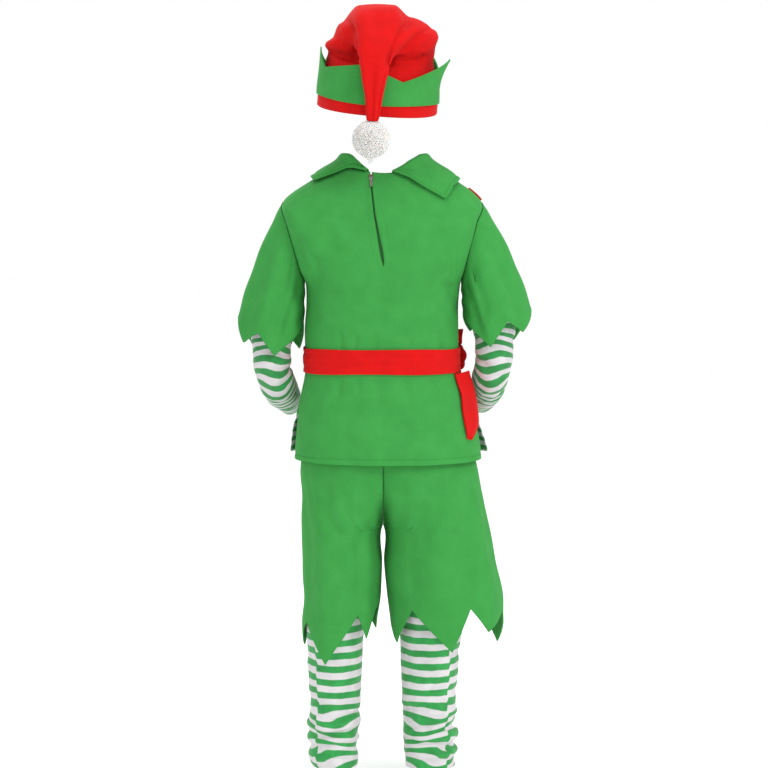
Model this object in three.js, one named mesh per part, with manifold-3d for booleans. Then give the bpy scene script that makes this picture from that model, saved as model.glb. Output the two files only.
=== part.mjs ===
// Elf costume for a child of about 116 cm, standing in its worn form.
// Millimetres, +Z up. The front faces -Y, the wearer's left is +X.
// The origin is at the shoulders, on the wearer's middle, where the wearer carries the tunic.
import * as THREE from 'three';
import { mergeVertices } from 'three/addons/utils/BufferGeometryUtils.js';
import Module from 'manifold-3d';

const wasm = await Module();
wasm.setup();

// Cloth walls and the gap left at every seam
const FELT = 2.0;
const DOUBLE_FELT = 2.4;
const KNIT = 1.4;
const TAPE = 1.0;
const SEAM_GAP = 0.3;

// Widest spacing of a tube's columns, in degrees
const ROUND_SPACING = 20;

// Tunic, one row for each section from the neckline down to the hem.
// half: half width at the side. side, back, front: height there. yBack, yFront: depth there.
// centre: sideways shift of the section. flare: how much wider the front hangs than the back.
const TUNIC = [
  { half: 64, side: 38, back: 26, front: -14, yBack: 50, yFront: -62, centre: -2, flare: 0 },
  { half: 106, side: 16, back: -8, front: -40, yBack: 74, yFront: -78, centre: -1, flare: 0 },
  { half: 148, side: -17, back: -50, front: -72, yBack: 86, yFront: -90, centre: 1, flare: 0 },
  { half: 141, side: -48, back: -80, front: -98, yBack: 91, yFront: -95, centre: 2, flare: 0 },
  { half: 131, side: -84, back: -106, front: -116, yBack: 93, yFront: -98, centre: 2, flare: 0 },
  { half: 122, side: -117, back: -128, front: -132, yBack: 92, yFront: -98, centre: 1, flare: 0 },
  { half: 116, side: -139, back: -145, front: -146, yBack: 91, yFront: -97, centre: 0, flare: 0 },
  { half: 114, side: -170, back: -172, front: -172, yBack: 89, yFront: -95, centre: 1, flare: 0 },
  { half: 115, side: -202, back: -202, front: -202, yBack: 87, yFront: -93, centre: 2, flare: 0 },
  { half: 115, side: -235, back: -233, front: -235, yBack: 85, yFront: -91, centre: 2, flare: 0 },
  { half: 116, side: -272, back: -270, front: -272, yBack: 86, yFront: -91, centre: 1, flare: 0 },
  { half: 127, side: -312, back: -308, front: -312, yBack: 93, yFront: -98, centre: -3, flare: 1 },
  { half: 134, side: -348, back: -346, front: -348, yBack: 98, yFront: -103, centre: -5, flare: 4 },
  { half: 139, side: -380, back: -378, front: -382, yBack: 101, yFront: -107, centre: -7, flare: 7 },
  { half: 140, side: -402, back: -403, front: -404, yBack: 102, yFront: -109, centre: -8, flare: 9 },
];
const SHOULDER_TIP = 2;
const ARMPIT = 6;
const BELT_TOP = 9;
const BELT_FOOT = 10;
const HEM = TUNIC.length - 1;
const ARMHOLE_HALF = 44;
const SECTION_POWER = 2.3;
const SHOULDER_ROLL = 1.7;

// Green front hem: share of the half width, and the row at which the cloth ends
const FRONT_HEM = [
  { share: -1, row: 11.6 }, { share: -0.8, row: 12.5 }, { share: -0.6, row: 11.5 },
  { share: -0.4, row: 12.9 }, { share: -0.2, row: 11.8 }, { share: 0, row: 13.1 },
  { share: 0.2, row: 11.8 }, { share: 0.4, row: 12.9 }, { share: 0.6, row: 11.5 },
  { share: 0.8, row: 12.5 }, { share: 1, row: 11.6 },
];
const FRONT_SKIRT = { top: 10.7, hem: 13.5 };

// Slit at centre back, for the zip: sideways place and width at each height
const SLIT = [
  { z: 40, x: 18, width: 2.2 },
  { z: 4, x: 17, width: 2.2 },
  { z: -34, x: 12.5, width: 2.6 },
  { z: -64, x: 7, width: 3.4 },
  { z: -88, x: 2.5, width: 5.5 },
  { z: -104, x: 0, width: 3 },
  { z: -110, x: -0.5, width: 0.4 },
];
const ZIP = { tapeWidth: 11, tapeTop: 0.25, tapeFoot: 4.6, sliderWidth: 6, sliderHeight: 9,
  tabWidth: 3.4, tabLength: 18, top: 15 };

// Sleeves. ring: the mean hem as an ellipse; bulge: how far the middle stands outward.
// Hem rows: angle from outside over the back, and the height of the cloth's edge there.
const SLEEVES = {
  left: {
    ring: { x: 169, y: -6, z: -188, halfX: 50, halfY: 52 }, bulge: 6,
    hem: [
      { angle: 0, z: -190 }, { angle: 35, z: -226 }, { angle: 70, z: -211 },
      { angle: 98, z: -245 }, { angle: 170, z: -197 }, { angle: 215, z: -240 },
      { angle: 262, z: -206 }, { angle: 302, z: -240 }, { angle: 335, z: -200 },
    ],
  },
  right: {
    ring: { x: -172, y: -6, z: -172, halfX: 52, halfY: 52 }, bulge: 7,
    hem: [
      { angle: 0, z: -178 }, { angle: 42, z: -210 }, { angle: 75, z: -194 },
      { angle: 103, z: -232 }, { angle: 172, z: -180 }, { angle: 222, z: -214 },
      { angle: 262, z: -192 }, { angle: 302, z: -228 }, { angle: 335, z: -190 },
    ],
  },
};

// Striped undersleeves: centre line of the bent arm with half widths across and fore-and-aft
const UNDERSLEEVES = {
  left: [
    { x: 165, y: -2, z: -212, across: 37, deep: 38 },
    { x: 167, y: 3, z: -240, across: 32, deep: 35 },
    { x: 165, y: 4, z: -265, across: 28, deep: 34 },
    { x: 160, y: -8, z: -288, across: 27, deep: 30 },
    { x: 155, y: -35, z: -302, across: 26, deep: 26 },
    { x: 151, y: -66, z: -313, across: 24, deep: 24 },
    { x: 147, y: -96, z: -323, across: 21, deep: 21 },
    { x: 144, y: -120, z: -331, across: 19, deep: 19 },
  ],
  right: [
    { x: -166, y: -2, z: -200, across: 37, deep: 38 },
    { x: -167, y: 3, z: -228, across: 32, deep: 35 },
    { x: -166, y: 4, z: -255, across: 28, deep: 34 },
    { x: -162, y: -8, z: -280, across: 27, deep: 30 },
    { x: -159, y: -35, z: -296, across: 26, deep: 26 },
    { x: -157, y: -66, z: -309, across: 24, deep: 24 },
    { x: -155, y: -96, z: -320, across: 21, deep: 21 },
    { x: -153, y: -120, z: -328, across: 19, deep: 19 },
  ],
};
const UNDERSLEEVE_SEAM = { from: 0.42, to: 0.52 };

// Collar halves, from centre back round to centre front.
// turn: 0 centre back, 1 shoulder seam, 2 centre front. rise: height of the fold above the
// neckline. fall: the tunic row that the outer edge reaches.
const COLLARS = {
  left: [
    { turn: 0.22, rise: 4, fall: 0.06 }, { turn: 0.45, rise: 11, fall: 0.3 },
    { turn: 0.7, rise: 17, fall: 0.62 }, { turn: 0.92, rise: 19, fall: 0.98 },
    { turn: 1.1, rise: 17, fall: 0.86 }, { turn: 1.4, rise: 13, fall: 0.78 },
    { turn: 1.7, rise: 10, fall: 1.0 }, { turn: 1.9, rise: 7, fall: 0.5 },
  ],
  right: [
    { turn: 0.1, rise: 4, fall: 0.06 }, { turn: 0.3, rise: 9, fall: 0.46 },
    { turn: 0.54, rise: 14, fall: 1.1 }, { turn: 0.76, rise: 18, fall: 1.36 },
    { turn: 0.98, rise: 20, fall: 1.1 }, { turn: 1.4, rise: 13, fall: 0.78 },
    { turn: 1.7, rise: 10, fall: 1.0 }, { turn: 1.9, rise: 7, fall: 0.5 },
  ],
};

// Clearance of each collar half over the tunic, past its own thickness
const COLLAR_LIFT = { left: 1.2, right: 1.7 };

// Shorts. Each leg's section is an ellipse; the two ellipses part below the crotch.
// out: outermost distance from the middle. inner: innermost, negative above the crotch.
const SHORTS = {
  left: {
    rows: [
      { z: -292, out: 104, inner: -104, yBack: 74, yFront: -78 },
      { z: -345, out: 116, inner: -96, yBack: 84, yFront: -84 },
      { z: -403, out: 123, inner: -72, yBack: 90, yFront: -86 },
      { z: -455, out: 123, inner: -36, yBack: 88, yFront: -84 },
      { z: -507, out: 122, inner: 1.5, yBack: 82, yFront: -80 },
      { z: -560, out: 121, inner: 2.5, yBack: 78, yFront: -78 },
      { z: -610, out: 120, inner: 4, yBack: 77, yFront: -80 },
      { z: -650, out: 121, inner: 6, yBack: 78, yFront: -82 },
      { z: -710, out: 122, inner: 8, yBack: 79, yFront: -84 },
    ],
    hem: [
      { angle: 0, z: -604 }, { angle: 28, z: -628 }, { angle: 47, z: -668 },
      { angle: 64, z: -632 }, { angle: 112, z: -705 }, { angle: 152, z: -646 },
      { angle: 194, z: -692 }, { angle: 230, z: -650 }, { angle: 268, z: -708 },
      { angle: 306, z: -645 }, { angle: 338, z: -668 }, { angle: 360, z: -604 },
    ],
  },
  right: {
    rows: [
      { z: -292, out: 106, inner: -106, yBack: 74, yFront: -78 },
      { z: -345, out: 122, inner: -98, yBack: 84, yFront: -84 },
      { z: -403, out: 139, inner: -72, yBack: 90, yFront: -86 },
      { z: -455, out: 150, inner: -36, yBack: 88, yFront: -84 },
      { z: -507, out: 161, inner: 1.5, yBack: 84, yFront: -80 },
      { z: -560, out: 172, inner: 4, yBack: 82, yFront: -78 },
      { z: -610, out: 182, inner: 9, yBack: 84, yFront: -80 },
      { z: -650, out: 183, inner: 12, yBack: 86, yFront: -82 },
      { z: -710, out: 184, inner: 15, yBack: 88, yFront: -84 },
    ],
    hem: [
      { angle: 0, z: -650 }, { angle: 26, z: -678 }, { angle: 53, z: -624 },
      { angle: 93, z: -684 }, { angle: 114, z: -620 }, { angle: 135, z: -658 },
      { angle: 168, z: -632 }, { angle: 205, z: -690 }, { angle: 240, z: -632 },
      { angle: 278, z: -698 }, { angle: 316, z: -635 }, { angle: 360, z: -650 },
    ],
  },
};
const CROTCH_GAP = 0.4;
const WAISTBAND = { top: -270, foot: -291.7 };

// Striped legs: centre, half widths and height of each section below the seam to the shorts
const LEGS = {
  seamTop: -548, seamFoot: -562,
  left: [
    { x: 66, y: 0, z: -600, across: 52, deep: 66 },
    { x: 71, y: 0, z: -640, across: 46, deep: 56 },
    { x: 73, y: 0, z: -690, across: 42.5, deep: 50 },
    { x: 73, y: 0, z: -738, across: 40.5, deep: 47 },
    { x: 72.5, y: 0, z: -780, across: 38.5, deep: 45 },
    { x: 74, y: 0, z: -790, across: 38, deep: 44 },
    { x: 75.5, y: 0, z: -806, across: 41.5, deep: 48 },
    { x: 75, y: 0, z: -818, across: 37, deep: 43 },
    { x: 77, y: 0, z: -830, across: 38.5, deep: 46 },
    { x: 76, y: 0, z: -843, across: 35, deep: 41 },
    { x: 76, y: 0, z: -857, across: 38, deep: 45 },
    { x: 74, y: 0, z: -873, across: 35, deep: 42 },
  ],
  right: [
    { x: -88, y: 0, z: -600, across: 68, deep: 68 },
    { x: -76, y: 0, z: -640, across: 52, deep: 57 },
    { x: -71.5, y: 0, z: -690, across: 45, deep: 50 },
    { x: -70.5, y: 0, z: -738, across: 43, deep: 47 },
    { x: -69.5, y: 0, z: -778, across: 41, deep: 45 },
    { x: -72, y: 0, z: -795, across: 42, deep: 46 },
    { x: -68, y: 0, z: -812, across: 37, deep: 43 },
    { x: -72, y: 0, z: -825, across: 43, deep: 48 },
    { x: -70, y: 0, z: -838, across: 38, deep: 43 },
    { x: -73, y: 0, z: -850, across: 41, deep: 47 },
    { x: -71, y: 0, z: -861, across: 37, deep: 43 },
    { x: -72, y: 0, z: -873, across: 38, deep: 45 },
  ],
};

// Sash tied at the right hip
const SASH = { lift: 0.5, knot: { x: -116.2, y: -45, z: -253, halfX: 8.5, halfY: 17, halfZ: 19 } };
const SASH_ENDS = {
  back: [
    { row: 10.02, from: -0.66, to: -0.9 }, { row: 10.7, from: -0.66, to: -0.92 },
    { row: 11.3, from: -0.68, to: -0.94 }, { row: 12, from: -0.7, to: -0.95 },
    { row: 12.5, from: -0.73, to: -0.93 }, { row: 12.85, from: -0.79, to: -0.86 },
  ],
  front: [
    { row: 10.02, from: -0.9, to: -0.66 }, { row: 10.7, from: -0.9, to: -0.64 },
    { row: 11.3, from: -0.88, to: -0.6 }, { row: 11.9, from: -0.86, to: -0.58 },
    { row: 12.3, from: -0.8, to: -0.6 }, { row: 12.5, from: -0.74, to: -0.68 },
  ],
};
const SASH_LOOP = { x: -116.2, y: -45, foot: -234.2, top: -211, halfY: 10, halfX: 4, wall: 2 };
const PATCH = { fromRow: 1.45, toRow: 1.95, from: -0.99, to: -0.8 };

// Hat, in its own frame: z = 0 at the brim's lower edge, tilted on the head
const HAT = { x: 9, y: -5, z: 121, tiltBack: 8, roll: 4.5, brim: 22, band: 6, half: 86, deep: 95 };
// Crown sections turn about a crease line across the back of the crown.
// turn: how far the section has folded over. near, far: distance from the crease.
const CREASE = { y: 72, z: 74 };
const CROWN_POWER = 0.9;
const CROWN = [
  { turn: 0, drop: 71, near: -19, far: 165, half: 84, x: 0 },
  { turn: 0, drop: 48, near: -20, far: 166, half: 85, x: 0 },
  { turn: 0, drop: 22, near: -17, far: 163, half: 83, x: 0 },
  { turn: 4, drop: 4, near: -4, far: 158, half: 80, x: 0 },
  { turn: 16, drop: 0, near: 6, far: 152, half: 79, x: -2 },
  { turn: 32, drop: 0, near: 9, far: 136, half: 77, x: -3 },
  { turn: 50, drop: 0, near: 10, far: 110, half: 73, x: -3 },
  { turn: 70, drop: 0, near: 10, far: 89, half: 62, x: -1 },
  { turn: 92, drop: 0, near: 10, far: 76, half: 48, x: 2 },
  { turn: 116, drop: 0, near: 10, far: 62, half: 38, x: 5 },
  { turn: 140, drop: 0, near: 12, far: 54, half: 31, x: 7 },
  { turn: 162, drop: 0, near: 18, far: 49, half: 26, x: 8 },
  { turn: 176, drop: 2, near: 27, far: 50, half: 22, x: 8 },
  { turn: 180, drop: 20, near: 33, far: 51, half: 18, x: 8 },
  { turn: 180, drop: 40, near: 36, far: 52, half: 13.5, x: 7 },
  { turn: 180, drop: 60, near: 38.5, far: 52, half: 11, x: 6 },
  { turn: 180, drop: 77.5, near: 40.5, far: 52, half: 8.5, x: 6 },
];
const POMPOM = { x: 6, drop: 104.8, out: 46.2, halfX: 28, halfZ: 27.5 };
// Points of the green band: angle from the left side over the back, height and lean outward
const POINTS = [
  { angle: 4, z: 92, lean: 14 }, { angle: 30, z: 60, lean: 2 }, { angle: 78, z: 72, lean: 1 },
  { angle: 114, z: 58, lean: 2 }, { angle: 170, z: 91, lean: 24 }, { angle: 196, z: 60, lean: 3 },
  { angle: 232, z: 92, lean: 16 }, { angle: 268, z: 60, lean: 3 }, { angle: 306, z: 92, lean: 16 },
  { angle: 334, z: 60, lean: 3 },
];

// Colours, roughness and metalness of the materials
const FINISH = {
  greenFelt: { color: 0x3f9e45, roughness: 0.95, metalness: 0 },
  redFelt: { color: 0xc8140f, roughness: 0.95, metalness: 0 },
  stripes: { color: 0x8fbf9a, roughness: 0.8, metalness: 0 },
  plush: { color: 0xf3efea, roughness: 1, metalness: 0 },
  zipTape: { color: 0x35803c, roughness: 0.8, metalness: 0 },
  nickel: { color: 0xb9bcbf, roughness: 0.3, metalness: 1 },
};

const radians = THREE.MathUtils.degToRad;

/** Numbers from first to last in even steps. */
function steps(first, last, count) {
  return Array.from({ length: count + 1 }, (_, i) => first + (last - first) * i / count);
}

/** A column of a table at a fractional row, on a smooth curve through the rows. */
function smooth(table, name, row) {
  const last = table.length - 1;
  const base = Math.min(Math.max(Math.floor(row), 0), last - 1);
  const t = row - base;
  const value = (i) => table[Math.min(Math.max(i, 0), last)][name];
  const [before, start, end, after] = [value(base - 1), value(base), value(base + 1), value(base + 2)];
  const leave = (end - before) / 2;
  const arrive = (after - start) / 2;
  const bend = 2 * t ** 3 - 3 * t ** 2;
  return start * (bend + 1) - end * bend + leave * (t ** 3 - 2 * t ** 2 + t) + arrive * (t ** 3 - t ** 2);
}

/** The fractional row at which a steadily changing column reaches a value. */
function rowAt(table, name, value) {
  const falling = table[0][name] > table[table.length - 1][name];
  const next = table.findIndex((row) => (falling ? row[name] <= value : row[name] >= value));
  if (next === 0) return 0;
  const end = next < 0 ? table.length - 1 : next;
  const start = table[end - 1][name];
  return end - 1 + (value - start) / (table[end][name] - start);
}

/** A column on straight lines between rows, by another column. */
function between(table, key, value, name) {
  const row = rowAt(table, key, value);
  const base = Math.min(Math.floor(row), table.length - 2);
  return table[base][name] + (table[base + 1][name] - table[base][name]) * (row - base);
}

/** A table of angles closed to 360 degrees with its own first row. */
function roundTable(table) {
  return [...table, { ...table[0], angle: table[0].angle + 360 }];
}

/** Shares of the round at every row of a table of angles, and between them at most a spacing apart. */
function roundColumns(table, spacing) {
  const rows = roundTable(table);
  return rows.slice(0, -1).flatMap(({ angle }, i) => {
    const next = rows[i + 1].angle;
    return steps(angle, next, Math.ceil((next - angle) / spacing)).slice(0, -1);
  }).map((angle) => angle / 360);
}

/** The unit normal of a surface, turned away from a point that lies inside. */
function normalAt(surface, u, v, inside) {
  const small = 1e-3;
  const along = surface(u + small, v).sub(surface(u - small, v));
  const down = surface(u, v + small).sub(surface(u, v - small));
  const normal = along.cross(down).normalize();
  return surface(u, v).sub(inside).dot(normal) < 0 ? normal.negate() : normal;
}

/** One closed body from points and triangles, its faces turned outwards. */
function body(points, triangles) {
  const geometry = new THREE.BufferGeometry();
  geometry.setAttribute('position', new THREE.Float32BufferAttribute(points.flatMap((p) => p.toArray()), 3));
  const volume = triangles.reduce((sum, [a, b, c]) => (
    sum + points[a].dot(points[b].clone().cross(points[c]))), 0);
  const turned = volume < 0 ? triangles.map(([a, b, c]) => [a, c, b]) : triangles;
  geometry.setIndex(turned.flat());
  return geometry;
}

/**
 * A cloth wall. surface(u, v) gives its outer face; the inner face lies one thickness behind it.
 * closed joins the last column to the first. facing (1 or -1) states the outer side where the
 * middle of a row doesn't tell it. hold(normal, i, j) may flatten the offset at a seam.
 */
function wall(surface, across, down, thickness, { closed = false, facing = 0, hold = null } = {}) {
  const columns = across.length;
  const rows = down.length;
  const points = down.map((v) => across.map((u) => surface(u, v)));
  const column = (i) => (closed ? (i + columns) % columns : Math.min(Math.max(i, 0), columns - 1));
  const row = (j) => Math.min(Math.max(j, 0), rows - 1);
  const normals = points.map((line, j) => line.map((_, i) => {
    const along = points[j][column(i + 1)].clone().sub(points[j][column(i - 1)]);
    return along.cross(points[row(j + 1)][i].clone().sub(points[row(j - 1)][i])).normalize();
  }));
  const agreement = points.reduce((sum, line, j) => {
    const middle = line.reduce((total, p) => total.add(p), new THREE.Vector3()).divideScalar(columns);
    return sum + line.reduce((part, p, i) => part + normals[j][i].dot(p.clone().sub(middle)), 0);
  }, 0);
  const side = facing || Math.sign(agreement);
  const inner = points.map((line, j) => line.map((p, i) => {
    const normal = normals[j][i].clone().multiplyScalar(side);
    if (hold) hold(normal, i, j, p);
    return p.clone().addScaledVector(normal.normalize(), -thickness);
  }));
  const outer = (i, j) => j * columns + column(i);
  const back = (i, j) => rows * columns + outer(i, j);
  const triangles = [];
  const quad = (a, b, c, d) => triangles.push([a, b, c], [a, c, d]);
  const spans = closed ? columns : columns - 1;
  for (let j = 0; j < rows - 1; j += 1) {
    for (let i = 0; i < spans; i += 1) {
      quad(outer(i, j), outer(i + 1, j), outer(i + 1, j + 1), outer(i, j + 1));
      quad(back(i, j), back(i, j + 1), back(i + 1, j + 1), back(i + 1, j));
    }
  }
  for (let i = 0; i < spans; i += 1) {
    quad(outer(i + 1, 0), outer(i, 0), back(i, 0), back(i + 1, 0));
    quad(outer(i, rows - 1), outer(i + 1, rows - 1), back(i + 1, rows - 1), back(i, rows - 1));
  }
  for (let j = 0; j < rows - 1 && !closed; j += 1) {
    const end = columns - 1;
    quad(outer(0, j), outer(0, j + 1), back(0, j + 1), back(0, j));
    quad(outer(end, j + 1), outer(end, j), back(end, j), back(end, j + 1));
  }
  return body([...points.flat(), ...inner.flat()], triangles);
}

/** A closed mesh as a solid for joins and cuts. */
function solid(geometry) {
  const bare = geometry.index ? geometry.clone() : geometry;
  bare.deleteAttribute('normal');
  bare.deleteAttribute('uv');
  const merged = mergeVertices(bare, 1e-4);
  return new wasm.Manifold(new wasm.Mesh({
    numProp: 3,
    vertProperties: new Float32Array(merged.attributes.position.array),
    triVerts: new Uint32Array(merged.index.array),
  }));
}

/** The mesh of a solid after joins and cuts. */
function meshOf(made) {
  const { vertProperties, triVerts } = made.getMesh();
  const geometry = new THREE.BufferGeometry();
  geometry.setAttribute('position', new THREE.BufferAttribute(vertProperties, 3));
  geometry.setIndex(new THREE.BufferAttribute(triVerts, 1));
  return geometry;
}

/** A named node with its finish. */
function node(name, geometry, finish) {
  geometry.deleteAttribute('normal');
  geometry.deleteAttribute('uv');
  geometry.computeVertexNormals();
  const material = new THREE.MeshStandardMaterial({ ...finish, name: `${name}_finish` });
  const mesh = new THREE.Mesh(geometry, material);
  mesh.name = name;
  return mesh;
}

const powered = (value, power) => Math.sign(value) * Math.abs(value) ** power;

/** Half the fore-and-aft opening of the armhole at a tunic row. */
function armhole(row) {
  if (row <= SHOULDER_TIP || row >= ARMPIT) return 0;
  return ARMHOLE_HALF * Math.sin(Math.PI * (row - SHOULDER_TIP) / (ARMPIT - SHOULDER_TIP)) ** 0.7;
}

/** The tunic's outer face: side 1 back or -1 front, share -1 right seam to 1 left seam. */
function tunic(side, share, row) {
  const at = (name) => smooth(TUNIC, name, row);
  const turn = share * Math.PI / 2;
  const across = powered(Math.sin(turn), 2 / SECTION_POWER);
  const outward = Math.max(Math.cos(turn), 0) ** (2 / SECTION_POWER);
  const edge = SEAM_GAP / 2 + armhole(row);
  const full = Math.abs(at(side > 0 ? 'yBack' : 'yFront'));
  const half = at('half') + (side < 0 ? at('flare') : 0);
  const middle = at(side > 0 ? 'back' : 'front');
  return new THREE.Vector3(
    at('centre') + half * across,
    side * (edge + (full - edge) * outward),
    middle + (at('side') - middle) * Math.abs(across) ** SHOULDER_ROLL,
  );
}

/** The tunic's face moved along its normal. */
function onTunic(side, share, row, lift) {
  const held = THREE.MathUtils.clamp(share, -0.985, 0.985);
  const inside = new THREE.Vector3(smooth(TUNIC, 'centre', row), 0, smooth(TUNIC, 'side', row) - 60);
  const normal = normalAt((u, v) => tunic(side, u, v), held, row, inside);
  return tunic(side, share, row).addScaledVector(normal, lift);
}

/** The share of a tunic row at a sideways place. */
function shareAt(x, row) {
  const across = (x - smooth(TUNIC, 'centre', row)) / smooth(TUNIC, 'half', row);
  return Math.asin(powered(Math.abs(across), SECTION_POWER / 2)) * Math.sign(across) * 2 / Math.PI;
}

const PANEL_SHARES = steps(-1, 1, 18);
const flatAtSides = (last) => (normal, i) => {
  if (i === 0 || i === last) normal.y = 0;
};

function tunicBack() {
  const rows = [...steps(0, HEM, HEM), 0.5, 1.5].sort((a, b) => a - b);
  const panel = wall((u, v) => tunic(1, u, v), PANEL_SHARES, rows, FELT, {
    hold: flatAtSides(PANEL_SHARES.length - 1),
  });
  const shape = new THREE.Shape([
    ...SLIT.map((row) => new THREE.Vector2(row.x - row.width / 2, row.z)),
    ...SLIT.map((row) => new THREE.Vector2(row.x + row.width / 2, row.z)).reverse(),
  ]);
  const depth = 160;
  const cutter = new THREE.ExtrudeGeometry(shape, { depth, bevelEnabled: false });
  cutter.rotateX(Math.PI / 2);
  cutter.translate(0, depth, 0);
  return meshOf(solid(panel).subtract(solid(cutter)));
}

function tunicFront() {
  const shares = PANEL_SHARES;
  const rows = [0, 1, 2, 3, 4, 5, 6, 7, 8, 9, 10, 11, 12];
  const hemRow = (share) => between(FRONT_HEM, 'share', share, 'row');
  const stretched = (share, row) => (row <= 11 ? row : 11 + (hemRow(share) - 11) * (row - 11));
  return wall((u, v) => tunic(-1, u, stretched(u, v)), shares, rows, FELT, {
    hold: flatAtSides(shares.length - 1),
  });
}

function frontSkirt() {
  const rows = steps(FRONT_SKIRT.top, FRONT_SKIRT.hem, 4);
  return wall((u, v) => onTunic(-1, u, v, -FELT - 0.9), PANEL_SHARES.slice(1, -1), rows, KNIT);
}

/** One half of the collar: stand, fold and falling part, laid over the tunic. */
function collar(table, hand) {
  const lift = DOUBLE_FELT + (hand > 0 ? COLLAR_LIFT.left : COLLAR_LIFT.right);
  const surface = (u, v) => {
    const at = (name) => smooth(table, name, u * (table.length - 1));
    const turn = at('turn');
    const side = turn <= 1 ? 1 : -1;
    const share = hand * (turn <= 1 ? turn : 2 - turn);
    const neck = tunic(side, share, 0);
    const inward = new THREE.Vector3(-neck.x, -neck.y, 0).normalize();
    const stand = (away, height) => neck.clone().addScaledVector(inward, away)
      .add(new THREE.Vector3(0, 0, height));
    if (v === 0) return stand(7, -3);
    if (v === 1) return stand(6, at('rise') - 3);
    if (v === 2) return stand(2.5, at('rise') + 0.5);
    if (v === 3) return stand(-2.5, at('rise') - 1);
    return onTunic(side, share, at('fall') * (v - 3.5) / 2.5, lift);
  };
  return wall(surface, steps(0, 1, 14), [0, 1, 2, 3, 4, 5, 6], DOUBLE_FELT, { facing: hand });
}

/** The edge of the armhole, from the shoulder tip over the back to the armpit and round. */
function armholeEdge(u, hand) {
  const span = ARMPIT - SHOULDER_TIP;
  const around = ((u % 1) + 1) % 1;
  const onBack = around <= 0.5;
  const row = onBack ? SHOULDER_TIP + span * 2 * around : ARMPIT - span * (2 * around - 1);
  const edge = tunic(onBack ? 1 : -1, hand, row);
  edge.x += hand * 3 * SEAM_GAP;
  return edge;
}

/** An oversleeve's outer face, from the armhole (v = 0) to its jagged edge (v = 1). */
function sleeveSurface(spec, hand) {
  const hem = roundTable(spec.hem);
  return (u, v) => {
    const angle = ((((u * 360) % 360) + 360) % 360);
    const turn = radians(angle);
    const start = armholeEdge(u, hand);
    const out = new THREE.Vector3(hand * Math.cos(turn), Math.sin(turn), 0);
    const end = new THREE.Vector3(spec.ring.x, spec.ring.y, between(hem, 'angle', angle, 'z'));
    end.x += out.x * spec.ring.halfX;
    end.y += out.y * spec.ring.halfY;
    const swell = spec.bulge * Math.sin(Math.PI * v) * (1 + Math.cos(turn)) / 2;
    return start.lerp(end, v).addScaledVector(out, swell);
  };
}

function sleeve(spec, hand) {
  return wall(sleeveSurface(spec, hand), roundColumns(spec.hem, ROUND_SPACING), steps(0, 1, 7), FELT, {
    closed: true,
    hold: (normal, i, j) => {
      if (j === 0) normal.x = 0;
    },
  });
}

/** An elliptical section of a bent tube, from the rows of its table. */
function tubeSection(table, row, turn, hand) {
  const place = (r) => new THREE.Vector3(...['x', 'y', 'z'].map((name) => smooth(table, name, r)));
  const forward = place(row + 0.5).sub(place(row - 0.5)).normalize();
  const side = new THREE.Vector3(hand, 0, 0).addScaledVector(forward, -hand * forward.x).normalize();
  const rear = forward.clone().cross(side).multiplyScalar(-hand);
  return place(row)
    .addScaledVector(side, smooth(table, 'across', row) * Math.cos(turn))
    .addScaledVector(rear, smooth(table, 'deep', row) * Math.sin(turn));
}

/** A striped undersleeve, sewn inside the oversleeve and running to the wrist. */
function undersleeve(table, spec, hand) {
  const over = sleeveSurface(spec, hand);
  const surface = (u, v) => {
    if (v >= 0) return tubeSection(table, v, 2 * Math.PI * u, hand);
    const along = v === -2 ? UNDERSLEEVE_SEAM.from : UNDERSLEEVE_SEAM.to;
    const inside = armholeEdge(0, hand).lerp(armholeEdge(0.5, hand), 0.5)
      .lerp(new THREE.Vector3(spec.ring.x, spec.ring.y, spec.ring.z - 30), along);
    return over(u, along).addScaledVector(normalAt(over, u, along, inside), -FELT - 0.7);
  };
  const rows = [-2, -1, ...steps(0, table.length - 1, table.length - 1)];
  return wall(surface, roundColumns(spec.hem, ROUND_SPACING), rows, KNIT, { closed: true });
}

/** Belt round the tunic, made from the tunic's own rows moved outward. */
function sashBelt() {
  const columns = [...PANEL_SHARES.map((share) => ({ side: 1, share })),
    ...PANEL_SHARES.map((share) => ({ side: -1, share: -share }))];
  const surface = (u, v) => onTunic(columns[u].side, columns[u].share, v, SASH.lift + FELT);
  return wall(surface, steps(0, columns.length - 1, columns.length - 1),
    [BELT_TOP, BELT_FOOT], FELT, { closed: true });
}

function sashKnot() {
  const { x, y, z, halfX, halfY, halfZ } = SASH.knot;
  const lump = new THREE.SphereGeometry(1, 14, 10);
  lump.scale(halfX, halfY, halfZ);
  lump.rotateZ(radians(22));
  lump.translate(x, y, z);
  return meshOf(solid(lump));
}

/** A loose end of the sash, laid on the tunic. */
function sashEnd(table, side) {
  const surface = (u, v) => {
    const at = (name) => smooth(table, name, v);
    return onTunic(side, at('from') + (at('to') - at('from')) * u, at('row'), FELT + 1.4);
  };
  return wall(surface, steps(0, 1, 4), steps(0, table.length - 1, 8), FELT);
}

/** The loop of the knot that stands above the belt. */
function sashLoop() {
  const { x, y, foot, top, halfY, halfX, wall: thick } = SASH_LOOP;
  const halfZ = (top - foot) / 2;
  const surface = (u, v) => new THREE.Vector3(
    x + halfX * (2 * v - 1),
    y + halfY * Math.cos(2 * Math.PI * u),
    foot + halfZ + halfZ * Math.sin(2 * Math.PI * u),
  );
  return wall(surface, steps(0, 1, 14).slice(0, -1), [0, 1], thick, { closed: true });
}

function shoulderPatch() {
  const surface = (u, v) => onTunic(-1, u, v, FELT + 0.4);
  return wall(surface, steps(PATCH.from, PATCH.to, 4), steps(PATCH.fromRow, PATCH.toRow, 3), FELT);
}

/** Sideways place of the slit at a height. */
const slitX = (z) => between(SLIT, 'z', z, 'x');

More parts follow.
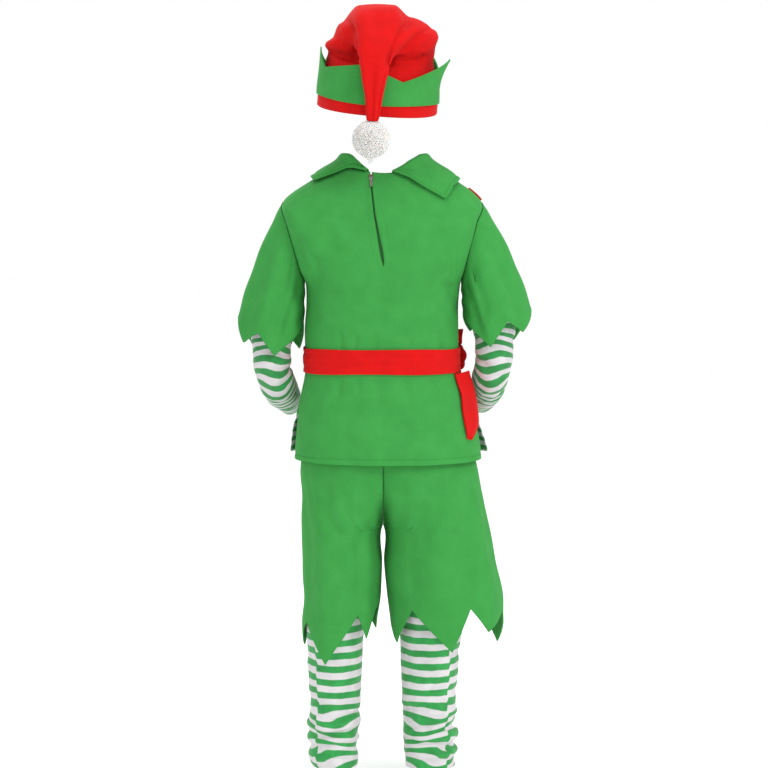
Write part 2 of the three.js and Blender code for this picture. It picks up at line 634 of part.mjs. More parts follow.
/** A zip tape under one edge of the slit. */
function zipTape(hand) {
  const surface = (u, v) => {
    const x = slitX(smooth(TUNIC, 'back', v)) + hand * (SEAM_GAP / 2 + ZIP.tapeWidth * u);
    return onTunic(1, shareAt(x, v), v, -FELT - 0.9);
  };
  return wall(surface, [0, 0.5, 1], steps(ZIP.tapeTop, ZIP.tapeFoot, 10), TAPE);
}

/** The frame of the zip slider: its seat on the tunic, down the slope and out of the cloth. */
function zipSeat() {
  const row = rowAt(TUNIC, 'back', ZIP.top);
  const seat = onTunic(1, shareAt(slitX(ZIP.top), row), row, 0.7);
  const below = onTunic(1, shareAt(slitX(ZIP.top), row + 0.3), row + 0.3, 0.7);
  const down = below.sub(seat).setX(0).normalize();
  const out = new THREE.Vector3(1, 0, 0).cross(down).normalize();
  if (out.y < 0) out.negate();
  return { seat, down, out };
}

/** Places a mesh made with X across, Y down the slope and Z out of the cloth. */
function seatOnZip(mesh, alongSlope, height) {
  const { seat, down, out } = zipSeat();
  const across = down.clone().cross(out);
  mesh.quaternion.setFromRotationMatrix(new THREE.Matrix4().makeBasis(across, down, out));
  mesh.position.copy(seat).addScaledVector(down, alongSlope).addScaledVector(out, height);
  return mesh;
}

const ZIP_BASE = 1.2;
const BRIDGE = { half: 2.6, leg: 1.0, room: 1.5, roof: 0.8, width: 1.2 };
const TAB_AXIS = { down: 0.9, out: ZIP_BASE + BRIDGE.room / 2 };

function zipSlider() {
  const box = (w, l, h, y, z) => {
    const piece = new THREE.BoxGeometry(w, l, h);
    piece.translate(0, y, z);
    return solid(piece);
  };
  const legHeight = BRIDGE.room + BRIDGE.roof;
  const legY = BRIDGE.half - BRIDGE.leg / 2;
  const made = box(ZIP.sliderWidth, ZIP.sliderHeight, ZIP_BASE, 0, ZIP_BASE / 2)
    .add(box(BRIDGE.width, BRIDGE.leg, legHeight, legY, ZIP_BASE + legHeight / 2))
    .add(box(BRIDGE.width, BRIDGE.leg, legHeight, -legY, ZIP_BASE + legHeight / 2))
    .add(box(BRIDGE.width, 2 * BRIDGE.half, BRIDGE.roof, 0, ZIP_BASE + legHeight - BRIDGE.roof / 2));
  return seatOnZip(node('zip_slider', meshOf(made), FINISH.nickel), 0, 0);
}

/** The pull tab, made about its own hinge line. */
function zipPull() {
  const half = ZIP.tabWidth / 2;
  const bar = 0.4;
  const plate = new THREE.Shape([
    new THREE.Vector2(-half, -bar), new THREE.Vector2(half, -bar),
    new THREE.Vector2(half, ZIP.tabLength - half), new THREE.Vector2(half / 2, ZIP.tabLength),
    new THREE.Vector2(-half / 2, ZIP.tabLength), new THREE.Vector2(-half, ZIP.tabLength - half),
  ]);
  const eye = { half: 0.9, foot: 4.0 };
  plate.holes.push(new THREE.Path([
    new THREE.Vector2(-eye.half, bar), new THREE.Vector2(-eye.half, eye.foot),
    new THREE.Vector2(eye.half, eye.foot), new THREE.Vector2(eye.half, bar),
  ]));
  const tab = new THREE.ExtrudeGeometry(plate, { depth: 2 * bar, bevelEnabled: false });
  tab.translate(0, 0, -bar);
  const pull = node('zip_pull', meshOf(solid(tab)), FINISH.nickel);
  return seatOnZip(pull, TAB_AXIS.down, TAB_AXIS.out);
}

/** One leg of the shorts: angle 0 inseam, 90 back, 180 outside, 270 front. */
function shortsSection(rows, hand, u, z) {
  const at = (name) => smooth(rows, name, rowAt(rows, 'z', z));
  const centre = (at('out') + at('inner')) / 2;
  const half = (at('out') - at('inner')) / 2;
  const least = CROTCH_GAP / 2 / at('yBack');
  const meet = Math.max(Math.acos(THREE.MathUtils.clamp((centre - CROTCH_GAP / 2) / half, -1, 1)), least);
  const turn = meet + (2 * Math.PI - 2 * meet) * u;
  const depth = Math.sin(turn) > 0 ? at('yBack') : -at('yFront');
  return new THREE.Vector3(hand * (centre - half * Math.cos(turn)), depth * Math.sin(turn), z);
}

const SHORTS_LEVELS = [-292, -330, -368, -403, -432, -455, -473, -487, -498, -507, -518];

function shorts(spec, hand) {
  const foot = SHORTS_LEVELS[SHORTS_LEVELS.length - 1];
  const hemZ = (u) => between(spec.hem, 'angle', u * 360, 'z');
  const surface = (u, v) => shortsSection(spec.rows, hand, u,
    v <= 0 ? SHORTS_LEVELS[SHORTS_LEVELS.length - 1 + v] : foot + (hemZ(u) - foot) * v);
  const columns = [...roundColumns(spec.hem.slice(0, -1), ROUND_SPACING), 1];
  const rows = [...steps(1 - SHORTS_LEVELS.length, 0, SHORTS_LEVELS.length - 1), 0.25, 0.5, 0.75, 1];
  return wall(surface, columns, rows, FELT, {
    hold: (normal, i, j, point) => {
      if (i !== 0 && i !== columns.length - 1) return;
      if (Math.abs(point.x) < 1 && point.z > -507) normal.x = 0;
      else normal.y = 0;
    },
  });
}

function waistband() {
  const left = SHORTS.left.rows[0];
  const right = SHORTS.right.rows[0];
  const surface = (u, v) => {
    const turn = 2 * Math.PI * u;
    const x = Math.cos(turn) * (Math.cos(turn) > 0 ? left.out : right.out);
    const y = Math.sin(turn) * (Math.sin(turn) > 0 ? left.yBack : -left.yFront);
    return new THREE.Vector3(x, y, WAISTBAND.top + (WAISTBAND.foot - WAISTBAND.top) * v);
  };
  return wall(surface, steps(0, 1, 28).slice(0, -1), [0, 1], DOUBLE_FELT, { closed: true });
}

/** A striped leg, sewn inside the shorts and gathered at the ankle. */
function stripedLeg(table, spec, hand) {
  const surface = (u, v) => {
    if (v < 0) {
      const z = v === -2 ? LEGS.seamTop : LEGS.seamFoot;
      const seat = (s, t) => shortsSection(spec.rows, hand, s, t);
      const rows = rowAt(spec.rows, 'z', z);
      const middle = hand * (smooth(spec.rows, 'out', rows) + smooth(spec.rows, 'inner', rows)) / 2;
      const held = THREE.MathUtils.clamp(u, 0.004, 0.996);
      const normal = normalAt(seat, held, z, new THREE.Vector3(middle, 0, z));
      return seat(u, z).addScaledVector(normal, -FELT - 1.7);
    }
    const turn = 2 * Math.PI * u;
    const at = (name) => smooth(table, name, v);
    return new THREE.Vector3(
      at('x') - hand * at('across') * Math.cos(turn),
      at('y') + at('deep') * Math.sin(turn),
      at('z'),
    );
  };
  const rows = [-2, -1, ...steps(0, table.length - 1, table.length - 1)];
  return wall(surface, steps(0, 1, 20).slice(0, -1), rows, KNIT, { closed: true });
}

/** A section of the crown, turned about the crease line across its back. */
function crownSection(u, row) {
  const at = (name) => smooth(CROWN, name, row);
  const turn = radians(at('turn'));
  const around = 2 * Math.PI * u;
  const reach = (at('far') + at('near')) / 2 - (at('far') - at('near')) / 2
    * powered(Math.cos(around), CROWN_POWER);
  return new THREE.Vector3(
    at('x') + at('half') * powered(Math.sin(around), CROWN_POWER),
    CREASE.y - Math.cos(turn) * reach,
    CREASE.z - at('drop') + Math.sin(turn) * reach,
  );
}

function hatCrown() {
  return wall(crownSection, steps(0, 1, 24).slice(0, -1), steps(0, CROWN.length - 1, 18), FELT,
    { closed: true });
}

/** An upright ring round the hat. */
function hatRing(halfX, halfY, angle, z) {
  const turn = radians(angle);
  return new THREE.Vector3(halfX * powered(Math.cos(turn), CROWN_POWER),
    halfY * powered(Math.sin(turn), CROWN_POWER) - 1, z);
}

const BAND_OUT = FELT + 1.2;

function hatPoints() {
  const table = roundTable(POINTS);
  const surface = (u, v) => {
    const angle = ((u * 360 - table[0].angle + 720) % 360) + table[0].angle;
    const lean = between(table, 'angle', angle, 'lean') * Math.max(0, (v - 0.3) / 0.7) ** 2;
    const out = BAND_OUT + lean;
    const top = between(table, 'angle', angle, 'z');
    return hatRing(HAT.half + out, HAT.deep - 2 + out, angle, HAT.band + (top - HAT.band) * v);
  };
  return wall(surface, roundColumns(POINTS, 12), steps(0, 1, 4), FELT, { closed: true });
}

function hatBrim() {
  const thick = 3.2;
  const out = BAND_OUT + 1.0 + thick;
  const surface = (u, v) => {
    const swell = 1.2 * Math.sin(Math.PI * v);
    return hatRing(HAT.half + out + swell, HAT.deep - 2 + out + swell, u * 360, HAT.brim * (1 - v));
  };
  return wall(surface, steps(0, 1, 32).slice(0, -1), steps(0, 1, 3), thick, { closed: true });
}

function pompom() {
  const ball = new THREE.SphereGeometry(1, 16, 10);
  ball.scale(POMPOM.halfX, POMPOM.halfX - 1, POMPOM.halfZ);
  ball.translate(POMPOM.x, CREASE.y + POMPOM.out, CREASE.z - POMPOM.drop);
  return meshOf(solid(ball));
}

const { greenFelt, redFelt, stripes, plush, zipTape: tapeFinish } = FINISH;

const hat = new THREE.Group();
hat.position.set(HAT.x, HAT.y, HAT.z);
hat.rotation.set(radians(-HAT.tiltBack), radians(-HAT.roll), 0);
hat.add(
  node('hat_crown', hatCrown(), redFelt),
  node('hat_points', hatPoints(), greenFelt),
  node('hat_brim', hatBrim(), redFelt),
  node('pompom', pompom(), plush),
);

const top = new THREE.Group();
top.add(
  node('tunic_back', tunicBack(), greenFelt),
  node('tunic_front', tunicFront(), greenFelt),
  node('front_skirt', frontSkirt(), stripes),
  node('collar_left', collar(COLLARS.left, 1), greenFelt),
  node('collar_right', collar(COLLARS.right, -1), greenFelt),
  node('sleeve_left', sleeve(SLEEVES.left, 1), greenFelt),
  node('sleeve_right', sleeve(SLEEVES.right, -1), greenFelt),
  node('undersleeve_left', undersleeve(UNDERSLEEVES.left, SLEEVES.left, 1), stripes),
  node('undersleeve_right', undersleeve(UNDERSLEEVES.right, SLEEVES.right, -1), stripes),
  node('shoulder_patch', shoulderPatch(), redFelt),
  node('sash_belt', sashBelt(), redFelt),
  node('sash_knot', sashKnot(), redFelt),
  node('sash_loop', sashLoop(), redFelt),
  node('sash_end_back', sashEnd(SASH_ENDS.back, 1), redFelt),
  node('sash_end_front', sashEnd(SASH_ENDS.front, -1), redFelt),
  node('zip_tape_left', zipTape(1), tapeFinish),
  node('zip_tape_right', zipTape(-1), tapeFinish),
  zipSlider(),
  zipPull(),
);

const trousers = new THREE.Group();
trousers.add(
  node('shorts_left', shorts(SHORTS.left, 1), greenFelt),
  node('shorts_right', shorts(SHORTS.right, -1), greenFelt),
  node('shorts_waistband', waistband(), greenFelt),
  node('leg_left', stripedLeg(LEGS.left, SHORTS.left, 1), stripes),
  node('leg_right', stripedLeg(LEGS.right, SHORTS.right, -1), stripes),
);

const group = new THREE.Group();
group.name = 'elf_costume';
group.add(hat, top, trousers);

export default group;
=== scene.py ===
"""Elf costume in worn form: felt hat, tunic, sash and shorts, with striped sleeves and legs.

The surfaces are worked out in millimetres from the same named sizes as the construction, on
grids of two parameters, and written to the meshes in metres.
"""
import logging
import math
from dataclasses import dataclass, field
from enum import Enum
from typing import Callable, Sequence

import bpy
import numpy as np
from mathutils import Matrix, Vector


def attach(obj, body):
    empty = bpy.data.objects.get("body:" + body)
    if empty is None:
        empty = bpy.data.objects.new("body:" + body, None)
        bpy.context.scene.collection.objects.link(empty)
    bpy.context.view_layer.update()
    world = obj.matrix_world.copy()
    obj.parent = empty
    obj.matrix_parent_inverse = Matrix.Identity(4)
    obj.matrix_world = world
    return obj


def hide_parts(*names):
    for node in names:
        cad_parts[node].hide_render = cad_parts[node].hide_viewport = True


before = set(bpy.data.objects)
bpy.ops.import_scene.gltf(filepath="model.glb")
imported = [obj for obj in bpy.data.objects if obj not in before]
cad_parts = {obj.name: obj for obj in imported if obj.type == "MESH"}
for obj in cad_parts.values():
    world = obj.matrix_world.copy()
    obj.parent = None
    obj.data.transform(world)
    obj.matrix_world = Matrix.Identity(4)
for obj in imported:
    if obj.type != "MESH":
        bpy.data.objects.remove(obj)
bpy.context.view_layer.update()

LOG = logging.getLogger("elf_costume")
MM = 0.001
Array = np.ndarray
Piece = bpy.types.Object
Tree = bpy.types.NodeTree
Socket = bpy.types.NodeSocket
BODY = "costume"
CRAFT_SEED = 11
TUNIC_NODES, COLLAR_NODES = ("tunic_back", "tunic_front"), ("collar_left", "collar_right")


class Side(Enum):
    """The wearer's side; the value is the sign of X there."""

    LEFT = 1
    RIGHT = -1

    @property
    def word(self) -> str:
        """The side as pieces and nodes are named by it."""
        return self.name.lower()


class Panel(Enum):
    """The back or the front of the tunic; the value is the sign of Y there."""

    BACK = 1
    FRONT = -1


def cubic(values: Array, at: Array) -> Array:
    """Values between rows, on a cubic through them with half the next chord as slope.

    Args:
        values: one number or grid row for each section.
        at: fractional row numbers.

    Returns:
        The values there, in the shape of at, then of a row.
    """
    last = len(values) - 1
    base = np.clip(np.floor(at).astype(int), 0, last - 1)
    t = np.reshape(at - base, np.shape(at) + (1,) * (values.ndim - 1))
    before, start, end, after = (values[np.clip(base + k, 0, last)] for k in (-1, 0, 1, 2))
    bend = 2 * t**3 - 3 * t**2
    leave, arrive = (end - before) / 2, (after - start) / 2
    return start * (bend + 1) - end * bend + leave * (t**3 - 2 * t**2 + t) + arrive * (t**3 - t**2)


class Table:
    """Rows with named columns, one row for each section of a piece."""

    def __init__(self, names: str, *rows: Sequence[float]) -> None:
        """Keeps the columns by name.

        Args:
            names: the column names, parted by spaces.
            rows: the numbers of each row.
        """
        self.columns = dict(zip(names.split(), np.array(rows, dtype=float).T))
        self.last = len(rows) - 1

    def smooth(self, name: str, row: Array) -> Array:
        """A column at fractional rows."""
        return cubic(self.columns[name], np.asarray(row, dtype=float))

    def row_at(self, name: str, value: Array) -> Array:
        """The fractional row where a steadily changing column reaches each value."""
        values = self.columns[name]
        order = np.argsort(values)
        return np.interp(value, values[order], order.astype(float))

    def between(self, key: str, value: Array, name: str) -> Array:
        """A column on straight lines between rows, by another, rising column."""
        return np.interp(value, self.columns[key], self.columns[name])

    def around(self, angle: Array, name: str) -> Array:
        """A column on straight lines between rows of a table of angles that closes on itself."""
        return np.interp(np.mod(angle, 360.0), self.columns["angle"], self.columns[name], period=360.0)


# Cloth thicknesses, the gap at a seam, how far thread lies over cloth, and a stitched groove's depth
FELT, DOUBLE_FELT, KNIT, TAPE, SEAM_GAP = 2.0, 2.4, 1.4, 1.0, 0.3
THREAD_UP, GROOVE = 0.1, 1.3

# Tunic: a row for each section, neckline to hem
TUNIC = Table(
    "half side back front y_back y_front centre flare",
    (64, 38, 26, -14, 50, 62, -2, 0),
    (106, 16, -8, -40, 74, 78, -1, 0),
    (148, -17, -50, -72, 86, 90, 1, 0),
    (141, -48, -80, -98, 91, 95, 2, 0),
    (131, -84, -106, -116, 93, 98, 2, 0),
    (122, -117, -128, -132, 92, 98, 1, 0),
    (116, -139, -145, -146, 91, 97, 0, 0),
    (114, -170, -172, -172, 89, 95, 1, 0),
    (115, -202, -202, -202, 87, 93, 2, 0),
    (115, -235, -233, -235, 85, 91, 2, 0),
    (116, -272, -270, -272, 86, 91, 1, 0),
    (127, -312, -308, -312, 93, 98, -3, 1),
    (134, -348, -346, -348, 98, 103, -5, 4),
    (139, -380, -378, -382, 101, 107, -7, 7),
    (140, -402, -403, -404, 102, 109, -8, 9),
)
SHOULDER_TIP, ARMPIT, BELT_TOP, BELT_FOOT, TUNIC_HEM = 2, 6, 9, 10, 14
ARMHOLE_HALF, SECTION_POWER, SHOULDER_ROLL, HEM_FOLD = 44.0, 2.3, 1.7, 8.5
FRONT_HEM = Table(
    "share row",
    (-1, 11.6), (-0.8, 12.5), (-0.6, 11.5), (-0.4, 12.9), (-0.2, 11.8), (0, 13.1),
    (0.2, 11.8), (0.4, 12.9), (0.6, 11.5), (0.8, 12.5), (1, 11.6),
)
FRONT_CUT_ROW, FRONT_SKIRT = 11, (10.7, 13.5)
SLIT = Table(
    "z x width",
    (-110, -0.5, 0.4), (-104, 0, 3), (-88, 2.5, 5.5), (-64, 7, 3.4), (-34, 12.5, 2.6),
    (4, 17, 2.2), (40, 18, 2.2),
)

# Sleeves: the mean hem ring, and the height of the jagged edge by the angle from outside over back
SLEEVE_RING = {Side.LEFT: (169, -6, -188, 50, 52, 6), Side.RIGHT: (-172, -6, -172, 52, 52, 7)}
SLEEVE_HEM = {
    Side.LEFT: Table(
        "angle z", (0, -190), (35, -226), (70, -211), (98, -245), (170, -197), (215, -240),
        (262, -206), (302, -240), (335, -200),
    ),
    Side.RIGHT: Table(
        "angle z", (0, -178), (42, -210), (75, -194), (103, -232), (172, -180), (222, -214),
        (262, -192), (302, -228), (335, -190),
    ),
}
UNDERSLEEVE = {
    Side.LEFT: Table(
        "x y z across deep",
        (165, -2, -212, 37, 38), (167, 3, -240, 32, 35), (165, 4, -265, 28, 34),
        (160, -8, -288, 27, 30), (155, -35, -302, 26, 26), (151, -66, -313, 24, 24),
        (147, -96, -323, 21, 21), (144, -120, -331, 19, 19),
    ),
    Side.RIGHT: Table(
        "x y z across deep",
        (-166, -2, -200, 37, 38), (-167, 3, -228, 32, 35), (-166, 4, -255, 28, 34),
        (-162, -8, -280, 27, 30), (-159, -35, -296, 26, 26), (-157, -66, -309, 24, 24),
        (-155, -96, -320, 21, 21), (-153, -120, -328, 19, 19),
    ),
}
UNDERSLEEVE_SEAM, UNDERSLEEVE_IN = (0.42, 0.52), FELT + 4.2

# Collar halves from centre back (0) over the shoulder seam (1) to centre front (2)
COLLAR = {
    Side.LEFT: Table(
        "turn rise fall", (0.22, 3, 0.06), (0.42, 13, 0.08), (0.54, 18, 0.2), (0.62, 19, 0.62),
        (0.75, 18, 1.05), (1.0, 16, 0.98), (1.4, 13, 0.78), (1.7, 10, 1.0), (1.9, 7, 0.5),
    ),
    Side.RIGHT: Table(
        "turn rise fall", (0.1, 3, 0.06), (0.27, 9, 0.5), (0.367, 13, 1.05), (0.456, 15, 1.5),
        (0.64, 18, 1.22), (1.0, 16, 1.08), (1.4, 13, 0.78), (1.7, 10, 1.0), (1.9, 7, 0.5),
    ),
}
COLLAR_LIFT = {Side.LEFT: 1.2, Side.RIGHT: 1.7}
COLLAR_INSET = 6.5

# Shorts: each leg's section is an ellipse, and the two part below the crotch
SHORTS = {
    Side.LEFT: Table(
        "z out inner y_back y_front",
        (-292, 104, -104, 74, 78), (-345, 116, -96, 84, 84), (-403, 123, -72, 90, 86),
        (-455, 123, -36, 88, 84), (-507, 122, 0.9, 82, 80), (-560, 121, 1.2, 78, 78),
        (-610, 120, 3, 77, 80), (-650, 121, 6, 78, 82), (-710, 122, 8, 79, 84),
    ),
    Side.RIGHT: Table(
        "z out inner y_back y_front",
        (-292, 106, -106, 74, 78), (-345, 122, -98, 84, 84), (-403, 139, -72, 90, 86),
        (-455, 150, -36, 88, 84), (-507, 161, 0.9, 84, 80), (-560, 172, 1.4, 82, 78),
        (-610, 182, 6, 84, 80), (-650, 183, 11, 86, 82), (-710, 184, 15, 88, 84),
    ),
}
SHORTS_HEM = {
    Side.LEFT: Table(
        "angle z", (0, -604), (28, -628), (47, -668), (64, -632), (112, -705), (152, -646),
        (194, -692), (230, -650), (268, -708), (306, -645), (338, -668), (360, -604),
    ),
    Side.RIGHT: Table(
        "angle z", (0, -650), (26, -678), (53, -624), (93, -684), (114, -620), (135, -658),
        (168, -632), (205, -690), (240, -632), (278, -698), (316, -635), (360, -650),
    ),
}
SHORTS_TOP, CROTCH, SHORTS_FOOT, CROTCH_GAP = 292, -507, -518.0, 0.06
WAISTBAND = (-270.0, -291.7)
LEG_SEAM_TURN = 0.365
LEG_SEAM, LEG_IN, ANKLE_DEPTH = (-548.0, -562.0), FELT + 4.6, 1.35
LEG = {
    Side.LEFT: Table(
        "x z across deep",
        (66, -600, 52, 66), (71, -640, 46, 56), (73, -690, 42.5, 50), (73, -738, 40.5, 47),
        (72.5, -780, 38.5, 45), (74, -790, 38, 44), (75.5, -806, 41.5, 48), (75, -818, 37, 43),
        (77, -830, 38.5, 46), (76, -843, 35, 41), (76, -857, 38, 45), (74, -873, 35, 42),
    ),
    Side.RIGHT: Table(
        "x z across deep",
        (-88, -600, 68, 68), (-76, -640, 52, 57), (-71.5, -690, 45, 50), (-70.5, -738, 43, 47),
        (-69.5, -778, 41, 45), (-72, -795, 42, 46), (-68, -812, 37, 43), (-72, -825, 43, 48),
        (-70, -838, 38, 43), (-73, -850, 41, 47), (-71, -861, 37, 43), (-72, -873, 38, 45),
    ),
}

# Sash
SASH_LIFT, BELT_WIDE = 0.5, 37.0
SASH_END = {
    Panel.BACK: Table(
        "row from to", (10.02, -0.71, -0.9), (10.7, -0.68, -0.93), (11.3, -0.64, -0.96),
        (12, -0.625, -0.94), (12.3, -0.625, -0.84), (12.62, -0.635, -0.68),
    ),
    Panel.FRONT: Table(
        "row from to", (10.02, -0.9, -0.66), (10.7, -0.9, -0.64), (11.3, -0.88, -0.6),
        (11.9, -0.86, -0.58), (12.3, -0.8, -0.6), (12.5, -0.74, -0.68),
    ),
}
KNOT_CENTRE, KNOT_HALF, KNOT_TURN = (-116.2, -45.0, -253.0), (8.5, 17.0, 19.0), 22.0
LOOP_FOOT, LOOP_HALF = -234.2, (4.0, 10.0, 11.6)

# Hat, in its own frame with z = 0 at the brim's lower edge
HAT_PLACE, HAT_TILT_BACK, HAT_ROLL = (9.0, -5.0, 121.0), 8.0, 4.5
HAT_HALF, HAT_DEEP, HAT_BRIM, BRIM_OUT, BRIM_THICK = 86.0, 93.0, 22.0, 3.6, 3.2
CREASE_Y, CREASE_Z, CROWN_POWER = 72.0, 74.0, 0.9
CROWN = Table(
    "turn drop near far half x",
    (0, 71, -19, 165, 84, 0), (0, 48, -20, 166, 85, 0), (0, 22, -17, 163, 83, 0),
    (4, 4, -4, 158, 80, 0), (16, 0, 6, 152, 79, -2), (32, 0, 9, 136, 77, -3),
    (50, 0, 10, 110, 73, -3), (70, 0, 10, 89, 62, -1), (92, 0, 10, 76, 48, 2),
    (116, 0, 10, 62, 38, 5), (140, 0, 12, 54, 31, 7), (162, 0, 18, 49, 26, 8),
    (176, 2, 27, 50, 22, 8), (180, 20, 33, 51, 18, 8), (180, 40, 36, 52, 13.5, 7),
    (180, 60, 38.5, 52, 11, 6), (180, 77.5, 40.5, 52, 8.5, 6),
)
POMPOM_PLACE, POMPOM_RADIUS = (6.0, CREASE_Y + 46.2, CREASE_Z - 104.8), 28.0
POMPOM_CORE, TUFTS = 20.5, 9000
POINTS = Table(
    "angle z lean", (2, 86, 1), (26, 61, 0), (76, 74, 0), (110, 52, 0), (168, 84, 15),
    (196, 60, 2), (232, 90, 12), (268, 60, 2), (306, 90, 12), (334, 60, 2),
)


def powered(value: Array, power: float) -> Array:
    """The value raised to a power with its sign kept."""
    return np.sign(value) * np.abs(value) ** power


def stack(x: Array, y: Array, z: Array) -> Array:
    """Three arrays as points."""
    return np.stack(np.broadcast_arrays(x, y, z), axis=-1).astype(float)


def unit(vectors: Array) -> Array:
    """Vectors scaled to length 1."""
    return vectors / np.maximum(np.linalg.norm(vectors, axis=-1, keepdims=True), 1e-9)


def grid_normals(points: Array, closed: bool) -> Array:
    """Unit normals of a grid: the cross product of its differences along and down.

    Args:
        points: rows x columns x 3.
        closed: whether the last column joins the first.

    Returns:
        The normals, rows x columns x 3.
    """
    if closed:
        along = np.roll(points, -1, axis=1) - np.roll(points, 1, axis=1)
    else:
        along = np.gradient(points, axis=1)
    return unit(np.cross(along, np.gradient(points, axis=0)))


def outward_normals(points: Array, closed: bool, facing: int = 0) -> Array:
    """Grid normals turned away from the middle of each row, or by the stated sign."""
    normals = grid_normals(points, closed)
    if not facing:
        middle = points.mean(axis=1, keepdims=True)
        facing = 1 if float(np.sum(normals * (points - middle))) > 0 else -1
    return normals * facing


@dataclass(frozen=True)
class Crease:
    """A soft trough (depth below 0) or ridge along a bowed line on a cloth surface.

    Its shape across is a bell curve of the stated width, and it fades at both ends. The line runs
    in the surface's own pair of measures, such as sideways place and height in millimetres.
    """

    start: tuple[float, float]
    end: tuple[float, float]
    depth: float
    width: float
    bow: float = 0.0

    def lift(self, a: Array, b: Array) -> Array:
        """The height that this crease adds at each point.

        Args:
            a: the surface's first measure.
            b: the surface's second measure.

        Returns:
            Millimetres along the normal.
        """
        (a0, b0), (a1, b1) = self.start, self.end
        length = math.hypot(a1 - a0, b1 - b0)
        ta, tb = (a1 - a0) / length, (b1 - b0) / length
        along = ((a - a0) * ta + (b - b0) * tb) / length
        middle = 4 * self.bow * along * (1 - along)
        across = (a - a0) * -tb + (b - b0) * ta - middle
        reach = np.clip((along + 0.12) / 0.34, 0, 1) * np.clip((1.12 - along) / 0.34, 0, 1)
        fade = reach**2 * (3 - 2 * reach)
        return self.depth * np.exp(-((across / self.width) ** 2)) * fade


def creased(creases: Sequence[Crease], a: Array, b: Array) -> Array:
    """The sum of several creases."""
    return sum((crease.lift(a, b) for crease in creases), np.zeros(np.broadcast(a, b).shape))


def ripple(a: Array, b: Array, size: float, height: float, seed: int) -> Array:
    """Slow unevenness of hand-sewn cloth: a sum of six sine waves of near size in seeded directions."""
    rng = np.random.default_rng(CRAFT_SEED + seed)
    total = np.zeros(np.broadcast(a, b).shape)
    for _ in range(6):
        turn, phase = rng.uniform(0, math.pi), rng.uniform(0, 2 * math.pi)
        wave = 2 * math.pi / (size * rng.uniform(0.7, 1.6))
        total = total + np.sin((a * math.cos(turn) + b * math.sin(turn)) * wave + phase)
    return total * height / 6


def linked(name: str, mesh: bpy.types.Mesh) -> Piece:
    """A mesh as a linked object at the origin."""
    piece = bpy.data.objects.new(name, mesh)
    bpy.context.scene.collection.objects.link(piece)
    return piece


def faces_to_mesh(name: str, points: Array, faces: list[list[int]]) -> Piece:
    """Smooth faces of three or four corners, from n x 3 points in millimetres."""
    mesh = bpy.data.meshes.new(name)
    mesh.from_pydata((points * MM).tolist(), [], faces)
    mesh.polygons.foreach_set("use_smooth", np.ones(len(faces), dtype=bool))
    mesh.update()
    return linked(name, mesh)


def quads_to_mesh(name: str, points: Array, quads: Array, corners_uv: Array, smooth: Array) -> Piece:
    """Puts quads into a mesh whose faces point outwards.

    Args:
        name: the piece's name.
        points: n x 3, in millimetres.
        quads: m x 4 point numbers.
        corners_uv: m x 4 x 2 places on the cloth, in decimetres.
        smooth: m flags for smooth shading.

    Returns:
        The linked object, at the origin.
    """
    a, b, c, d = (points[quads[:, k]] for k in range(4))
    volume = np.sum(a * np.cross(b, c)) + np.sum(a * np.cross(c, d))
    if volume < 0:
        quads, corners_uv = quads[:, ::-1], corners_uv[:, ::-1]
    mesh = bpy.data.meshes.new(name)
    mesh.vertices.add(len(points))
    mesh.vertices.foreach_set("co", (points * MM).astype(np.float32).ravel())
    mesh.loops.add(quads.size)
    mesh.loops.foreach_set("vertex_index", np.ascontiguousarray(quads, dtype=np.int32).ravel())
    mesh.polygons.add(len(quads))
    mesh.polygons.foreach_set("loop_start", np.arange(0, quads.size, 4, dtype=np.int32))
    mesh.update(calc_edges=True)
    mesh.uv_layers.new(name="cloth")
    places = np.ascontiguousarray(corners_uv, dtype=np.float32).ravel()
    mesh.uv_layers["cloth"].data.foreach_set("uv", places)
    mesh.polygons.foreach_set("use_smooth", np.asarray(smooth, dtype=bool))
    mesh.validate()
    return linked(name, mesh)


@dataclass(frozen=True)
class Slit:
    """A cut between two neighbouring columns of a grid, open from the first row down to one row."""

    column: int
    foot_row: int


